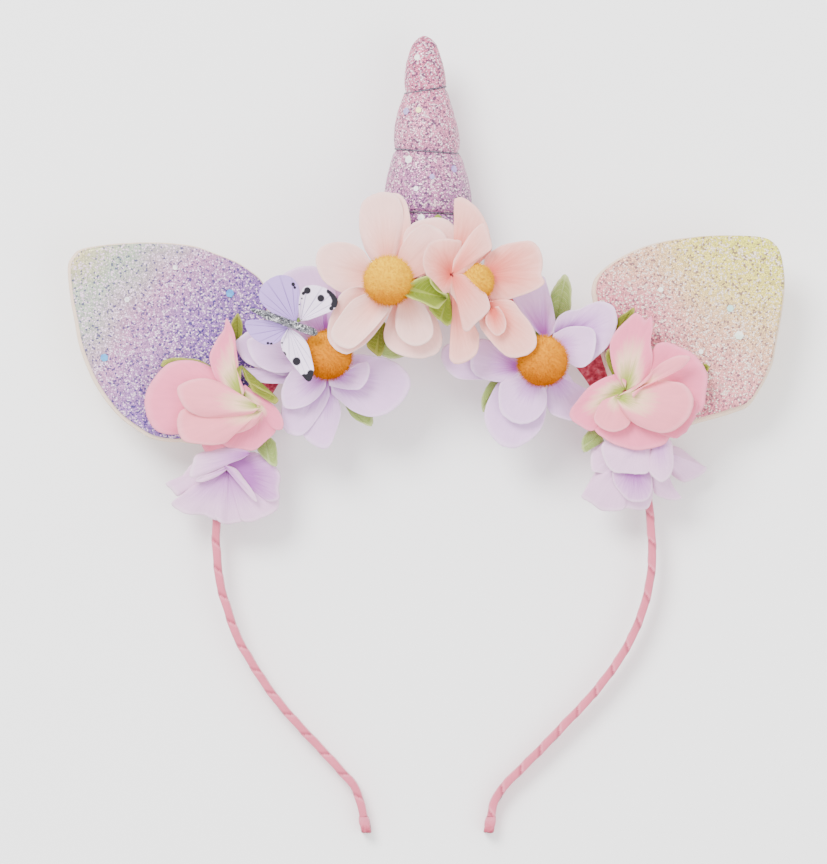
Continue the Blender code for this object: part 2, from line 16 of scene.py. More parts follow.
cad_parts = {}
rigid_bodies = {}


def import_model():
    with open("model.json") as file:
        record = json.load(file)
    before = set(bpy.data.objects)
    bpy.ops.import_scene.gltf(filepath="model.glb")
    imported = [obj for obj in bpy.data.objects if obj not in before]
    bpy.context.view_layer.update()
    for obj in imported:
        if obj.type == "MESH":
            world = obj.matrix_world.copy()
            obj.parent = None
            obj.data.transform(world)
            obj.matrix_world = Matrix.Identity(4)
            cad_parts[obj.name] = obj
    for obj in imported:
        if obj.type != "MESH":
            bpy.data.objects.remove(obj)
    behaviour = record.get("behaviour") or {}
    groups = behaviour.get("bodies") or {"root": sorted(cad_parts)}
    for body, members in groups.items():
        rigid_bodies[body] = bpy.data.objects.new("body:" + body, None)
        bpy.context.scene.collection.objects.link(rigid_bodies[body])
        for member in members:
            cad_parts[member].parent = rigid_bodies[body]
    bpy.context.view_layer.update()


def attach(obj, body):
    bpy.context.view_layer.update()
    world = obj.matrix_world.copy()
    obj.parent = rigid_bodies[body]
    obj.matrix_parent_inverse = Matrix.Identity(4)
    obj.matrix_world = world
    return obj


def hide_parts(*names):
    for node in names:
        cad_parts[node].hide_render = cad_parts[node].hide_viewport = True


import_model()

# %% [markdown]
# The headband was drawn on a sheet that looks straight at its front: one sheet
# unit is 0.28 mm, x to the right and y down. It lies on its back, leaning on
# the horn and on the band's ends, so one small turn takes the sheet to the room.

# %% The drawing sheet and the way it lies
GRID = 0.00028
SHEET_MIDDLE = (426.5, 434.5)
SHEET_MM = 0.28
MM = 0.001
LEAN = math.radians(3.72)
LIES = Matrix.Translation((0, 0, 9.75 * MM)) @ Matrix.Rotation(LEAN, 4, "X")


def sheet(px, py, z=0.0):
    return LIES @ Vector(((px - SHEET_MIDDLE[0]) * GRID, (SHEET_MIDDLE[1] - py) * GRID, z * MM))


def mm(x, y, z=0.0):
    return LIES @ Vector((x * MM, y * MM, z * MM))


# %% [markdown]
# Outlines and routes are read off the drawing as a few points. One smooth curve
# through four neighbours (a Catmull-Rom spline) serves them all. The top of the
# band is half an ellipse, in millimetres, and the horn's foot follows it too.

# %% Smooth curves
ARCH_CENTRE = (1.96, -30.9)
ARCH_HALF_WIDE, ARCH_HALF_HIGH = 61.0, 75.0


def smooth_between(a, b, c, d, t):
    """A point of the smooth curve from b to c, t from 0 to 1."""
    slope = (c - a) * t
    bend = (2 * a - 5 * b + 4 * c - d) * t * t
    twist = (3 * b - a - 3 * c + d) * t**3
    return 0.5 * ((2 * b) + slope + bend + twist)


# %% [markdown]
# The camera looks square onto the band's plane from far away, with a long lens,
# so the flowers that stand forward hardly grow. 36 mm of sensor span the
# picture's height, which is 242 mm of headband.

# %% Camera
FIELD_HEIGHT = 864 * GRID
LENS, SENSOR = 300.0, 36.0
AIM = (413.5, 432.0)
camera_data = bpy.data.cameras.new("camera")
camera_data.lens = LENS
camera_data.sensor_width = SENSOR
camera_data.clip_end = 20.0
camera = bpy.data.objects.new("camera", camera_data)
bpy.context.scene.collection.objects.link(camera)
aim = sheet(*AIM)
away = (LIES.to_3x3() @ Vector((0, 0, 1))).normalized()
camera.location = aim + away * (LENS * FIELD_HEIGHT / SENSOR)
camera.rotation_euler = (LEAN, 0.0, 0.0)
bpy.context.scene.camera = camera
print("camera", [round(c, 3) for c in camera.location])

# %% [markdown]
# A pale floor and two broad soft lights in a white room, as in a light tent:
# cloth petals need soft shade to show their cups, and glitter needs a few
# bright edges.

# %% Floor and lights
floor_mesh = bpy.data.meshes.new("floor")
bm = bmesh.new()
bmesh.ops.create_grid(bm, x_segments=2, y_segments=2, size=3.0)
bm.to_mesh(floor_mesh)
bm.free()
floor = bpy.data.objects.new("floor", floor_mesh)
bpy.context.scene.collection.objects.link(floor)
floor_look = bpy.data.materials.new("pale floor")
floor_look.use_nodes = True
floor_shader = floor_look.node_tree.nodes["Principled BSDF"]
floor_shader.inputs["Base Color"].default_value = (0.95, 0.95, 0.95, 1)
floor_shader.inputs["Roughness"].default_value = 0.9
floor_shader.inputs["Specular IOR Level"].default_value = 0.0
floor_mesh.materials.append(floor_look)


def soft_light(name, place, size, power, colour=(1, 1, 1)):
    data = bpy.data.lights.new(name, "AREA")
    data.shape = "DISK"
    data.size = size
    data.energy = power
    data.color = colour
    lamp = bpy.data.objects.new(name, data)
    lamp.location = place
    lamp.rotation_euler = (Vector((0, 0, 0)) - Vector(place)).to_track_quat("-Z", "Y").to_euler()
    bpy.context.scene.collection.objects.link(lamp)


soft_light("key light", (-0.7, 0.9, 1.5), 0.9, 54.0)
soft_light("fill light", (0.9, -0.5, 1.5), 1.4, 15.0)
world = bpy.data.worlds.new("light tent")
world.use_nodes = True
world.node_tree.nodes["Background"].inputs["Color"].default_value = (1.0, 1.0, 1.0, 1)
world.node_tree.nodes["Background"].inputs["Strength"].default_value = 1.8
bpy.context.scene.world = world

# %% [markdown]
# Small helpers that every cell uses: one makes a finished object from a bmesh,
# one makes a new material, and one joins node sockets by name.

# %% Helpers
made = []


def finish_piece(name, bm, look, smooth=True):
    mesh = bpy.data.meshes.new(name)
    bm.to_mesh(mesh)
    bm.free()
    if smooth:
        mesh.shade_smooth()
    mesh.materials.append(look)
    piece = bpy.data.objects.new(name, mesh)
    bpy.context.scene.collection.objects.link(piece)
    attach(piece, "root")
    made.append(piece)
    print(f"{name}: {len(mesh.polygons)} faces")
    return piece


def material(name, roughness=0.85, metallic=0.0, sheen=0.0, specular=0.3):
    look = bpy.data.materials.new(name)
    look.use_nodes = True
    shader = look.node_tree.nodes["Principled BSDF"]
    shader.inputs["Roughness"].default_value = roughness
    shader.inputs["Metallic"].default_value = metallic
    shader.inputs["Sheen Weight"].default_value = sheen
    shader.inputs["Specular IOR Level"].default_value = specular
    return look, look.node_tree, shader


def node(tree, kind, **settings):
    made_node = tree.nodes.new(kind)
    for key, value in settings.items():
        if key in made_node.inputs:
            made_node.inputs[key].default_value = value
        else:
            setattr(made_node, key, value)
    return made_node


def math_node(tree, operation, a, b=None, clamp=False):
    n = node(tree, "ShaderNodeMath", operation=operation, use_clamp=clamp)
    for socket, value in zip(n.inputs, (a, b)):
        if value is None:
            continue
        if isinstance(value, (int, float)):
            socket.default_value = value
        else:
            tree.links.new(value, socket)
    return n.outputs[0]


def mix_colour(tree, factor, a, b, blend="MIX"):
    n = node(tree, "ShaderNodeMix", data_type="RGBA", blend_type=blend)
    for socket, value in ((n.inputs[0], factor), (n.inputs[6], a), (n.inputs[7], b)):
        if isinstance(value, (int, float)):
            socket.default_value = value
        elif isinstance(value, tuple):
            socket.default_value = (*value, 1.0) if len(value) == 3 else value
        else:
            tree.links.new(value, socket)
    return n.outputs[2]


def ramp(tree, factor, stops):
    n = node(tree, "ShaderNodeValToRGB")
    while len(n.color_ramp.elements) < len(stops):
        n.color_ramp.elements.new(0.5)
    for element, (place, colour) in zip(n.color_ramp.elements, stops):
        element.position = place
        element.color = (*colour, 1.0)
    tree.links.new(factor, n.inputs[0])
    return n.outputs[0]


def rgb(r, g, b):
    """A colour as the eye reads it (0-255), turned into linear light."""
    shares = (c / 255 for c in (r, g, b))
    return tuple(c / 12.92 if c <= 0.04045 else ((c + 0.055) / 1.055) ** 2.4 for c in shares)


# %% [markdown]
# Cloth petals, ribbon and leaves all need a weave and a little unevenness. One
# group makes both from a coordinate, and each material sets its own thread size.

# %% Shader group: woven cloth
weave = bpy.data.node_groups.new("woven cloth", "ShaderNodeTree")
CLOTH_INPUTS = (("Color", "Color"), ("Vector", "Vector"), ("Threads", "Float"), ("Uneven", "Float"))
CLOTH_OUTPUTS = (("Color", "Color"), ("Height", "Float"))


def add_sockets(group, inputs, outputs):
    """Names the group's sockets and returns its input and output nodes."""
    for side, sockets in (("INPUT", inputs), ("OUTPUT", outputs)):
        for label, kind in sockets:
            group.interface.new_socket(label, in_out=side, socket_type=f"NodeSocket{kind}")
    return group.nodes.new("NodeGroupInput"), group.nodes.new("NodeGroupOutput")


g_in, g_out = add_sockets(weave, CLOTH_INPUTS, CLOTH_OUTPUTS)
threads = node(weave, "ShaderNodeVectorMath", operation="SCALE")
weave.links.new(g_in.outputs["Vector"], threads.inputs[0])
weave.links.new(g_in.outputs["Threads"], threads.inputs["Scale"])
split = node(weave, "ShaderNodeSeparateXYZ")
weave.links.new(threads.outputs[0], split.inputs[0])
warp = math_node(weave, "SINE", split.outputs[0])
weft = math_node(weave, "SINE", split.outputs[1])
crossing = math_node(weave, "MULTIPLY", warp, weft)
slub = node(weave, "ShaderNodeTexNoise", Scale=260.0, Detail=4.0)
weave.links.new(g_in.outputs["Vector"], slub.inputs["Vector"])
centred = math_node(weave, "SUBTRACT", slub.outputs["Fac"], 0.5)
uneven = math_node(weave, "MULTIPLY", centred, g_in.outputs["Uneven"])
thread_shade = math_node(weave, "MULTIPLY", crossing, 0.035)
brightness = math_node(weave, "ADD", math_node(weave, "ADD", uneven, thread_shade), 1.0)
shaded = node(weave, "ShaderNodeVectorMath", operation="SCALE")
weave.links.new(g_in.outputs["Color"], shaded.inputs[0])
weave.links.new(brightness, shaded.inputs["Scale"])
weave.links.new(shaded.outputs[0], g_out.inputs["Color"])
slub_rise = math_node(weave, "MULTIPLY", slub.outputs["Fac"], 1.5)
weave.links.new(math_node(weave, "ADD", crossing, slub_rise), g_out.inputs["Height"])

# %% [markdown]
# Glitter cloth is thousands of flakes on a coloured ground, about two to the
# millimetre. A Voronoi texture gives each flake a cell and a random number: a
# few cells turn bright as painted glints, a few turn dark as painted shade,
# and the rest vary round the cloth's own colour. The narrow gaps between the
# flakes get painted shade too.

# %% Shader group: glitter flakes
flakes = bpy.data.node_groups.new("glitter flakes", "ShaderNodeTree")
GLITTER_INPUTS = (
    ("Color", "Color"), ("Dark", "Color"), ("Bright", "Color"), ("Vector", "Vector"),
    ("Flakes per metre", "Float"), ("Dark share", "Float"), ("Bright share", "Float"),
)
GLITTER_OUTPUTS = (("Color", "Color"), ("Roughness", "Float"), ("Height", "Float"))
g_in, g_out = add_sockets(flakes, GLITTER_INPUTS, GLITTER_OUTPUTS)
cells = node(flakes, "ShaderNodeTexVoronoi", feature="F1", Randomness=1.0)
rims = node(flakes, "ShaderNodeTexVoronoi", feature="DISTANCE_TO_EDGE", Randomness=1.0)
for texture in (cells, rims):
    flakes.links.new(g_in.outputs["Vector"], texture.inputs["Vector"])
    flakes.links.new(g_in.outputs["Flakes per metre"], texture.inputs["Scale"])
lots = node(flakes, "ShaderNodeSeparateColor")
flakes.links.new(cells.outputs["Color"], lots.inputs[0])
vary = math_node(flakes, "ADD", math_node(flakes, "MULTIPLY", lots.outputs[1], 0.5), 0.76)
ground = node(flakes, "ShaderNodeVectorMath", operation="SCALE")
flakes.links.new(g_in.outputs["Color"], ground.inputs[0])
flakes.links.new(vary, ground.inputs["Scale"])
# Painted glints and painted shade: a few bright cells take the bright colour as glints, a few dark cells take
# the dark colour as shade.
shade_below = math_node(flakes, "MULTIPLY", g_in.outputs["Dark share"], 0.5)
glint_above = math_node(flakes, "SUBTRACT", 1.0, g_in.outputs["Bright share"])
is_shaded_flake = math_node(flakes, "LESS_THAN", lots.outputs[0], shade_below)
is_glint = math_node(flakes, "GREATER_THAN", lots.outputs[0], glint_above)
shade_mix = math_node(flakes, "MULTIPLY", is_shaded_flake, 0.8)
glint_mix = math_node(flakes, "MULTIPLY", is_glint, 0.85)
with_shade = mix_colour(flakes, shade_mix, ground.outputs[0], g_in.outputs["Dark"])
with_glints = mix_colour(flakes, glint_mix, with_shade, g_in.outputs["Bright"])
# Painted shade in the narrow gaps between the flakes, deeper where dark flakes are many.
gap = node(flakes, "ShaderNodeMapRange", **{"From Min": 0.03, "From Max": 0.16, "To Min": 1.0, "To Max": 0.0})
flakes.links.new(rims.outputs["Distance"], gap.inputs["Value"])
rim_share = math_node(flakes, "SUBTRACT", 1.0, gap.outputs[0])
more_shade = math_node(flakes, "MULTIPLY", g_in.outputs["Dark share"], 1.4)
gap_shade_depth = math_node(flakes, "ADD", more_shade, 0.26, clamp=True)
gap_shade_mix = math_node(flakes, "MULTIPLY", gap.outputs[0], gap_shade_depth)
with_gap_shade = mix_colour(flakes, gap_shade_mix, with_glints, g_in.outputs["Dark"])
flakes.links.new(with_gap_shade, g_out.inputs["Color"])
dull = math_node(flakes, "MULTIPLY", lots.outputs[2], 0.45)
flakes.links.new(math_node(flakes, "ADD", dull, 0.2), g_out.inputs["Roughness"])
tilt = math_node(flakes, "MULTIPLY", lots.outputs[1], 0.7)
flakes.links.new(math_node(flakes, "ADD", tilt, rim_share), g_out.inputs["Height"])


def group_node(tree, group, **values):
    n = tree.nodes.new("ShaderNodeGroup")
    n.node_tree = group
    for label, value in values.items():
        socket = n.inputs[label.replace("_", " ")]
        if isinstance(value, (int, float)):
            socket.default_value = value
        elif isinstance(value, tuple):
            socket.default_value = (*value, 1.0)
        else:
            tree.links.new(value, socket)
    return n


def glitter_finish(tree, shader, coordinates, **values):
    """Joins the flakes' colour, gloss and height to the shader."""
    glitter = group_node(tree, flakes, Vector=coordinates, **values)
    tree.links.new(glitter.outputs["Color"], shader.inputs["Base Color"])
    tree.links.new(glitter.outputs["Roughness"], shader.inputs["Roughness"])
    return glitter.outputs["Height"]


def bumped(tree, shader, height, strength, distance):
    bump = node(tree, "ShaderNodeBump", Strength=strength, Distance=distance)
    tree.links.new(height, bump.inputs["Height"])
    tree.links.new(bump.outputs[0], shader.inputs["Normal"])


def object_coordinates(tree):
    return node(tree, "ShaderNodeTexCoord").outputs["Object"]


print("shader groups:", [g.name for g in bpy.data.node_groups])


# %% [markdown]
# A petal is cut flat and pressed into shape with a hot iron: its edges rise,
# its middle bellies, its rim ripples. We take a flat grid, give each point its
# share along the petal and across it, and move it to its place on the sheet:
# a plain petal by its width, an odd one by a fan from its root to its cut edge.
# Both shares stay on the mesh as attributes, so the dye can follow them.

# %% Petal maker
PETAL = dict(
    base=0.42, full=0.58, round=0.45, point=0.0,
    belly=0.0, cup=0.0, bend=0.0, skew=0.0, roll=0.0,
    ruffle=0.2, fray=0.6, crease=0.2, shade=0.0,
)


def cut_edge(cut, v):
    """A point of the smooth open curve through a cut edge, v from -1 to 1."""
    at = 0.5 * (v + 1) * (len(cut) - 1)
    i = min(int(at), len(cut) - 2)
    t = at - i
    a, b, c, d = (Vector(cut[max(0, min(len(cut) - 1, i + k))]) for k in (-1, 0, 1, 2))
    return smooth_between(a, b, c, d, t)


def petal_layers(bm):
    """The mesh's records of where each point lies on its petal, made once."""
    names = ("along", "across", "shade")
    for name in names:
        if name not in bm.verts.layers.float:
            bm.verts.layers.float.new(name)
    return [bm.verts.layers.float[name] for name in names]


def add_petal(bm, row, seed, along_steps=30, across_steps=26):
    """Adds one petal, root to tip in sheet units, and returns its points."""
    spot = random.Random(seed)
    s = dict(PETAL, **row)
    if "cut" in s:
        return add_cut_petal(bm, s, spot, along_steps, across_steps * 2)
    (ax, ay), (bx, by) = s["root"], s["tip"]
    length = math.hypot(bx - ax, by - ay)
    ux, uy = (bx - ax) / length, (by - ay) / length
    sx, sy = -uy, ux
    phase = [spot.uniform(0, 6.28) for _ in range(4)]
    waves = spot.choice((2.0, 2.5, 3.0))
    along, across, shade = petal_layers(bm)
    fresh = bmesh.ops.create_grid(bm, x_segments=along_steps, y_segments=across_steps, size=1.0)["verts"]
    for vert in fresh:
        u, v = 0.5 * (vert.co.x + 1), vert.co.y
        vert[along], vert[across], vert[shade] = u, v, s["shade"]
        p = max(0.0, (u - s["full"]) / (1 - s["full"]))
        if p == 0:
            w = s["base"] + (1 - s["base"]) * math.sin(0.5 * math.pi * u / s["full"])
            a = length * u
        else:  # the grid's square end is bent into a round one
            w = math.sqrt(1 - s["round"] * p * p) * (1 - s["point"] * p * p)
            a = length * (s["full"] + (1 - s["full"]) * p * math.sqrt(1 - s["round"] * v * v))
        nick = noise.noise(Vector((u * 19 + phase[0], v * 3, phase[1]))) * 0.03 * s["fray"]
        rim = max(abs(v), p) ** 6
        w *= 0.5 * s["width"] * (1 + nick * rim)
        a *= 1 + nick * rim * p
        side = v * w + s["bend"] * 4 * u * (1 - u) + s["skew"] * u * u
        edge_phase = phase[2] + (1.7 if v > 0 else 0)
        edge_wave = abs(v) ** 2.2 * math.sin(waves * math.pi * u + edge_phase)
        tip_wave = u**4 * math.sin(3.2 * v + phase[3])
        ripple = s["ruffle"] * (edge_wave + tip_wave)
        z = s["z"][0] + (s["z"][1] - s["z"][0]) * u + s["belly"] * 4 * u * (1 - u)
        z += s["cup"] * v * v * math.sin(math.pi * min(1, u * 0.75 + 0.1)) + s["roll"] * v * u + ripple
        z -= s["crease"] * math.exp(-((v / 0.09) ** 2)) * math.sin(math.pi * u) * 0.8
        vert.co = sheet(ax + ux * a + sx * side, ay + uy * a + sy * side, z)
    return fresh


def add_cut_petal(bm, s, spot, along_steps, across_steps):
    """A petal whose edge follows points: it fans out from its root to them."""
    along, across, shade = petal_layers(bm)
    phase = [spot.uniform(0, 6.28) for _ in range(4)]
    root = Vector(s["root"])
    fresh = bmesh.ops.create_grid(bm, x_segments=along_steps, y_segments=across_steps, size=1.0)["verts"]
    for vert in fresh:
        u, v = 0.5 * (vert.co.x + 1), vert.co.y
        vert[along], vert[across], vert[shade] = u, v, s["shade"]
        edge = cut_edge(s["cut"], v)
        nick = noise.noise(Vector((v * 34 + phase[0], 2.0, phase[1]))) * 0.8 * s["fray"] * u**6
        out = (edge - root).normalized()
        flat = root + (edge - root) * (0.05 + 0.95 * u) + out * nick
        ripple = s["ruffle"] * u**3 * (math.sin(5.0 * v + phase[2]) + 0.6 * math.sin(11.0 * v + phase[3]))
        z = s["z"][0] + (s["z"][1] - s["z"][0]) * u + s["belly"] * 4 * u * (1 - u)
        z += s["cup"] * v * v * math.sin(math.pi * min(1, u * 0.75 + 0.1)) + s["roll"] * v * u + ripple
        z += 0.3 * u * noise.noise(Vector((u * 2.6 + phase[1], v * 2.2, phase[0])))
        z -= s["crease"] * math.exp(-((v / 0.07) ** 2)) * math.sin(math.pi * u) * 0.8
        vert.co = sheet(flat.x, flat.y, z)
    return fresh


def thin_cloth(piece, thickness=0.16):
    wall = piece.modifiers.new("cloth thickness", "SOLIDIFY")
    wall.thickness = thickness * MM
    wall.offset = 0.0


# %% [markdown]
# The dye is painted on from the root outward and runs along the threads, so
# its front is streaky. The cut rim stays paler, where the cloth frays.

# %% Petal material
def petal_look(name, root, middle, body, edge, reach=0.6, streak=0.16, edge_start=0.91):
    look, tree, shader = material(name, roughness=0.85, sheen=0.05, specular=0.1)
    along = node(tree, "ShaderNodeAttribute", attribute_name="along").outputs["Fac"]
    across = node(tree, "ShaderNodeAttribute", attribute_name="across").outputs["Fac"]
    shade = node(tree, "ShaderNodeAttribute", attribute_name="shade").outputs["Fac"]
    coordinates = object_coordinates(tree)
    streak_place = node(tree, "ShaderNodeCombineXYZ")
    tree.links.new(math_node(tree, "MULTIPLY", across, 9.0), streak_place.inputs[0])
    tree.links.new(math_node(tree, "MULTIPLY", along, 1.3), streak_place.inputs[1])
    tree.links.new(shade, streak_place.inputs[2])
    veins = node(tree, "ShaderNodeTexNoise", Scale=2.2, Detail=5.0)
    tree.links.new(streak_place.outputs[0], veins.inputs["Vector"])
    wobble = math_node(tree, "MULTIPLY", math_node(tree, "SUBTRACT", veins.outputs["Fac"], 0.5), 0.4)
    out = math_node(tree, "DIVIDE", math_node(tree, "ADD", along, wobble), reach)
    colour = ramp(tree, math_node(tree, "SUBTRACT", out, shade), [(0.0, root), (0.5, middle), (1.0, body)])
    rim = node(tree, "ShaderNodeMapRange", **{"From Min": edge_start, "From Max": 1.0})
    past_root = math_node(tree, "MULTIPLY", along, 2.2, clamp=True)
    side = math_node(tree, "MULTIPLY", math_node(tree, "ABSOLUTE", across), past_root)
    tree.links.new(math_node(tree, "MAXIMUM", side, along), rim.inputs["Value"])
    colour = mix_colour(tree, math_node(tree, "MULTIPLY", rim.outputs[0], 0.5), colour, edge)
    vein_light = math_node(tree, "MULTIPLY", veins.outputs["Fac"], streak)
    lighter = math_node(tree, "ADD", vein_light, 1.0 - 0.5 * streak)
    scaled = node(tree, "ShaderNodeVectorMath", operation="SCALE")
    tree.links.new(colour, scaled.inputs[0])
    tree.links.new(lighter, scaled.inputs["Scale"])
    cloth = group_node(tree, weave, Color=scaled.outputs[0], Vector=coordinates, Threads=16000.0, Uneven=0.12)
    tree.links.new(cloth.outputs["Color"], shader.inputs["Base Color"])
    bumped(tree, shader, cloth.outputs["Height"], 0.35, 0.00014)
    return look


def petal_piece(name, rows, look, node_name, seed):
    bm = bmesh.new()
    for number, row in enumerate(rows):
        add_petal(bm, row, seed * 31 + number)
    piece = finish_piece(name, bm, look)
    thin_cloth(piece)
    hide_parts(node_name)
    return piece


# %% [markdown]
# The two lilac daisies lie lowest in the garland. Each has a back row of broad
# petals and a front row of smaller ones. The dye is strongest at the root.

# %% Lilac daisies
LILAC_LOOK = petal_look("lilac petal cloth", rgb(162, 84, 172), rgb(202, 146, 212), rgb(222, 182, 228),
    rgb(244, 222, 244))
petal_piece("lilac_left_back_row", [
    dict(root=(329, 346), cut=[(294, 346), (286, 330), (284, 306), (282, 279), (291, 271), (304, 267),
        (321, 269), (333, 282), (338, 306), (340, 328)], z=(9.6, 10.6), cup=0.5),
    dict(root=(334, 345), tip=(347, 287), width=34, z=(9.7, 9.8), cup=0.6, shade=0.5),
    dict(root=(326, 369), cut=[(284, 384), (264, 383), (246, 378), (243, 369), (255, 369), (284, 366)],
        z=(9.3, 9.0), cup=0.4, shade=0.2),
    dict(root=(326, 355), cut=[(273, 324), (255, 328), (243, 336), (236, 344), (243, 359), (253, 366),
        (268, 371), (284, 376), (295, 373)], z=(9.8, 10.2), cup=0.8),
    dict(root=(329, 376), cut=[(304, 382), (286, 398), (282, 410), (282, 423), (287, 432), (297, 436),
        (306, 433), (316, 421), (325, 407), (330, 396)], z=(9.9, 9.2), cup=0.5),
    dict(root=(330, 376), cut=[(328, 396), (320, 413), (307, 429), (304, 436), (314, 445), (324, 449),
        (331, 445), (336, 433), (340, 420), (341, 409), (336, 398)], z=(9.5, 8.6), cup=0.6, ruffle=0.4),
    dict(root=(330, 375), cut=[(332, 394), (343, 403), (353, 411), (370, 417), (384, 415), (392, 411),
        (403, 401), (410, 388), (409, 376), (399, 365), (387, 359), (376, 357), (353, 355), (340, 369)],
        z=(10.0, 10.0), cup=1.0, ruffle=0.5),
], LILAC_LOOK, "lilac_daisy_left_back_petals", 1)
petal_piece("lilac_left_front_row", [
    dict(root=(322, 360), cut=[(286, 335), (264, 336), (249, 340), (249, 350), (255, 362), (264, 369),
        (277, 373), (295, 372)], z=(12.2, 12.6), cup=0.6),
    dict(root=(328, 373), cut=[(309, 369), (295, 369), (286, 380), (282, 393), (283, 403), (286, 408),
        (296, 409), (309, 405), (320, 396), (326, 387)], z=(12.7, 12.4), cup=0.6, shade=0.15),
    dict(root=(328, 372), cut=[(330, 386), (342, 389), (353, 390), (361, 389), (368, 380), (370, 369),
        (367, 362), (355, 367), (342, 375), (332, 378)], z=(12.8, 14.4), cup=1.0, roll=0.8, shade=0.3),
], LILAC_LOOK, "lilac_daisy_left_front_petals", 2)
petal_piece("lilac_right_back_row", [
    dict(root=(545, 340), cut=[(528, 325), (517, 308), (510, 294), (512, 288), (531, 284), (542, 277),
        (546, 284), (550, 298), (553, 311), (555, 326), (553, 333)], z=(9.6, 10.6), cup=0.5, shade=0.15),
    dict(root=(554, 346), cut=[(552, 330), (557, 318), (566, 312), (578, 310), (588, 305), (599, 302),
        (611, 306), (615, 314), (616, 324), (612, 338), (605, 349), (597, 356), (588, 363), (575, 361)],
        z=(9.7, 12.0), cup=0.9, shade=0.4, ruffle=0.4),
    dict(root=(551, 374), cut=[(566, 368), (572, 381), (583, 388), (590, 393), (587, 405), (575, 420),
        (560, 418), (549, 412), (545, 398), (547, 386)], z=(9.8, 9.0), cup=0.3),
    dict(root=(531, 374), cut=[(505, 379), (497, 384), (492, 392), (486, 405), (484, 418), (488, 431),
        (497, 443), (508, 448), (518, 447), (531, 439), (541, 428), (545, 415), (546, 402), (544, 385)],
        z=(9.9, 9.4), cup=0.9),
    dict(root=(518, 368), cut=[(512, 346), (492, 341), (477, 339), (462, 341), (445, 346), (441, 356),
        (445, 368), (456, 378), (467, 380), (482, 380), (503, 381)], z=(10.0, 10.2), cup=0.8),
], LILAC_LOOK, "lilac_daisy_right_back_petals", 3)
petal_piece("lilac_right_front_row", [
    dict(root=(551, 348), cut=[(552, 335), (566, 328), (581, 327), (592, 330), (595, 340), (593, 353),
        (589, 363), (580, 368), (570, 365), (562, 359)], z=(12.8, 13.8), cup=0.5),
    dict(root=(536, 374), cut=[(516, 375), (505, 380), (499, 385), (498, 396), (499, 409), (505, 418),
        (518, 424), (531, 422), (541, 414), (546, 402), (545, 386)], z=(12.6, 12.4), cup=0.6),
    dict(root=(521, 368), cut=[(514, 352), (497, 346), (482, 340), (475, 347), (470, 360), (472, 372),
        (482, 379), (496, 382), (506, 382), (517, 376)], z=(12.7, 12.2), cup=0.6, shade=0.2),
], LILAC_LOOK, "lilac_daisy_right_front_petals", 4)

# %% [markdown]
# The blush daisies stand in front of the horn's foot. The left one faces us,
# the right one has turned aside, so some of its petals fold over its heart.

# %% Blush daisies
BLUSH_LOOK = petal_look("blush petal cloth", rgb(232, 140, 122), rgb(244, 180, 168), rgb(248, 198, 190),
    rgb(252, 222, 216), reach=0.75)
BLUSH_DEEP = petal_look("coral blush petal cloth", rgb(222, 104, 90), rgb(238, 146, 132),
    rgb(246, 178, 167), rgb(252, 212, 203), reach=0.85)
petal_piece("blush_left_back_row", [
    dict(root=(396, 276), tip=(394, 195), width=32, z=(19.4, 16.4), cup=0.6, base=0.6, shade=0.2),
    dict(root=(387, 266), cut=[(372, 262), (365, 250), (360, 232), (360, 215), (363, 204), (372, 197),
        (384, 194), (396, 197), (402, 207), (404, 221), (404, 235), (403, 248), (399, 259)],
        z=(20.6, 17.6), cup=0.8),
    dict(root=(378, 279), cut=[(371, 263), (362, 251), (350, 245), (335, 244), (322, 249), (317, 259),
        (318, 270), (324, 282), (333, 289), (344, 295), (354, 297), (365, 290)], z=(20.6, 20.2), cup=0.8),
    dict(root=(384, 290), cut=[(364, 289), (353, 289), (342, 295), (334, 311), (329, 326), (329, 340),
        (336, 350), (346, 355), (355, 352), (367, 344), (380, 329), (390, 314), (395, 304)],
        z=(20.7, 23.0), cup=1.0),
    dict(root=(398, 288), cut=[(393, 314), (387, 324), (384, 336), (388, 348), (401, 356), (417, 359),
        (428, 358), (438, 353), (442, 342), (440, 329), (434, 314), (427, 303), (415, 296)],
        z=(20.5, 18.6), cup=0.8),
    dict(root=(400, 276), cut=[(402, 262), (403, 245), (405, 234), (415, 224), (430, 220), (442, 220),
        (452, 226), (457, 238), (450, 256), (436, 270), (420, 279)], z=(20.4, 18.2), cup=0.6),
], BLUSH_LOOK, "blush_daisy_left_back_petals", 5)
petal_piece("blush_left_front_row", [
    dict(root=(387, 293), cut=[(367, 295), (353, 302), (341, 317), (332, 333), (336, 344), (350, 350),
        (363, 342), (378, 326), (389, 312)], z=(24.0, 25.8), cup=0.5),
    dict(root=(402, 292), cut=[(396, 316), (396, 330), (402, 341), (414, 347), (426, 344), (433, 335),
        (431, 320), (424, 306)], z=(23.8, 23.0), cup=0.5),
    dict(root=(402, 276), tip=(440, 232), width=42, z=(22.4, 20.4), cup=0.6, round=0.4),
], BLUSH_LOOK, "blush_daisy_left_front_petals", 6)
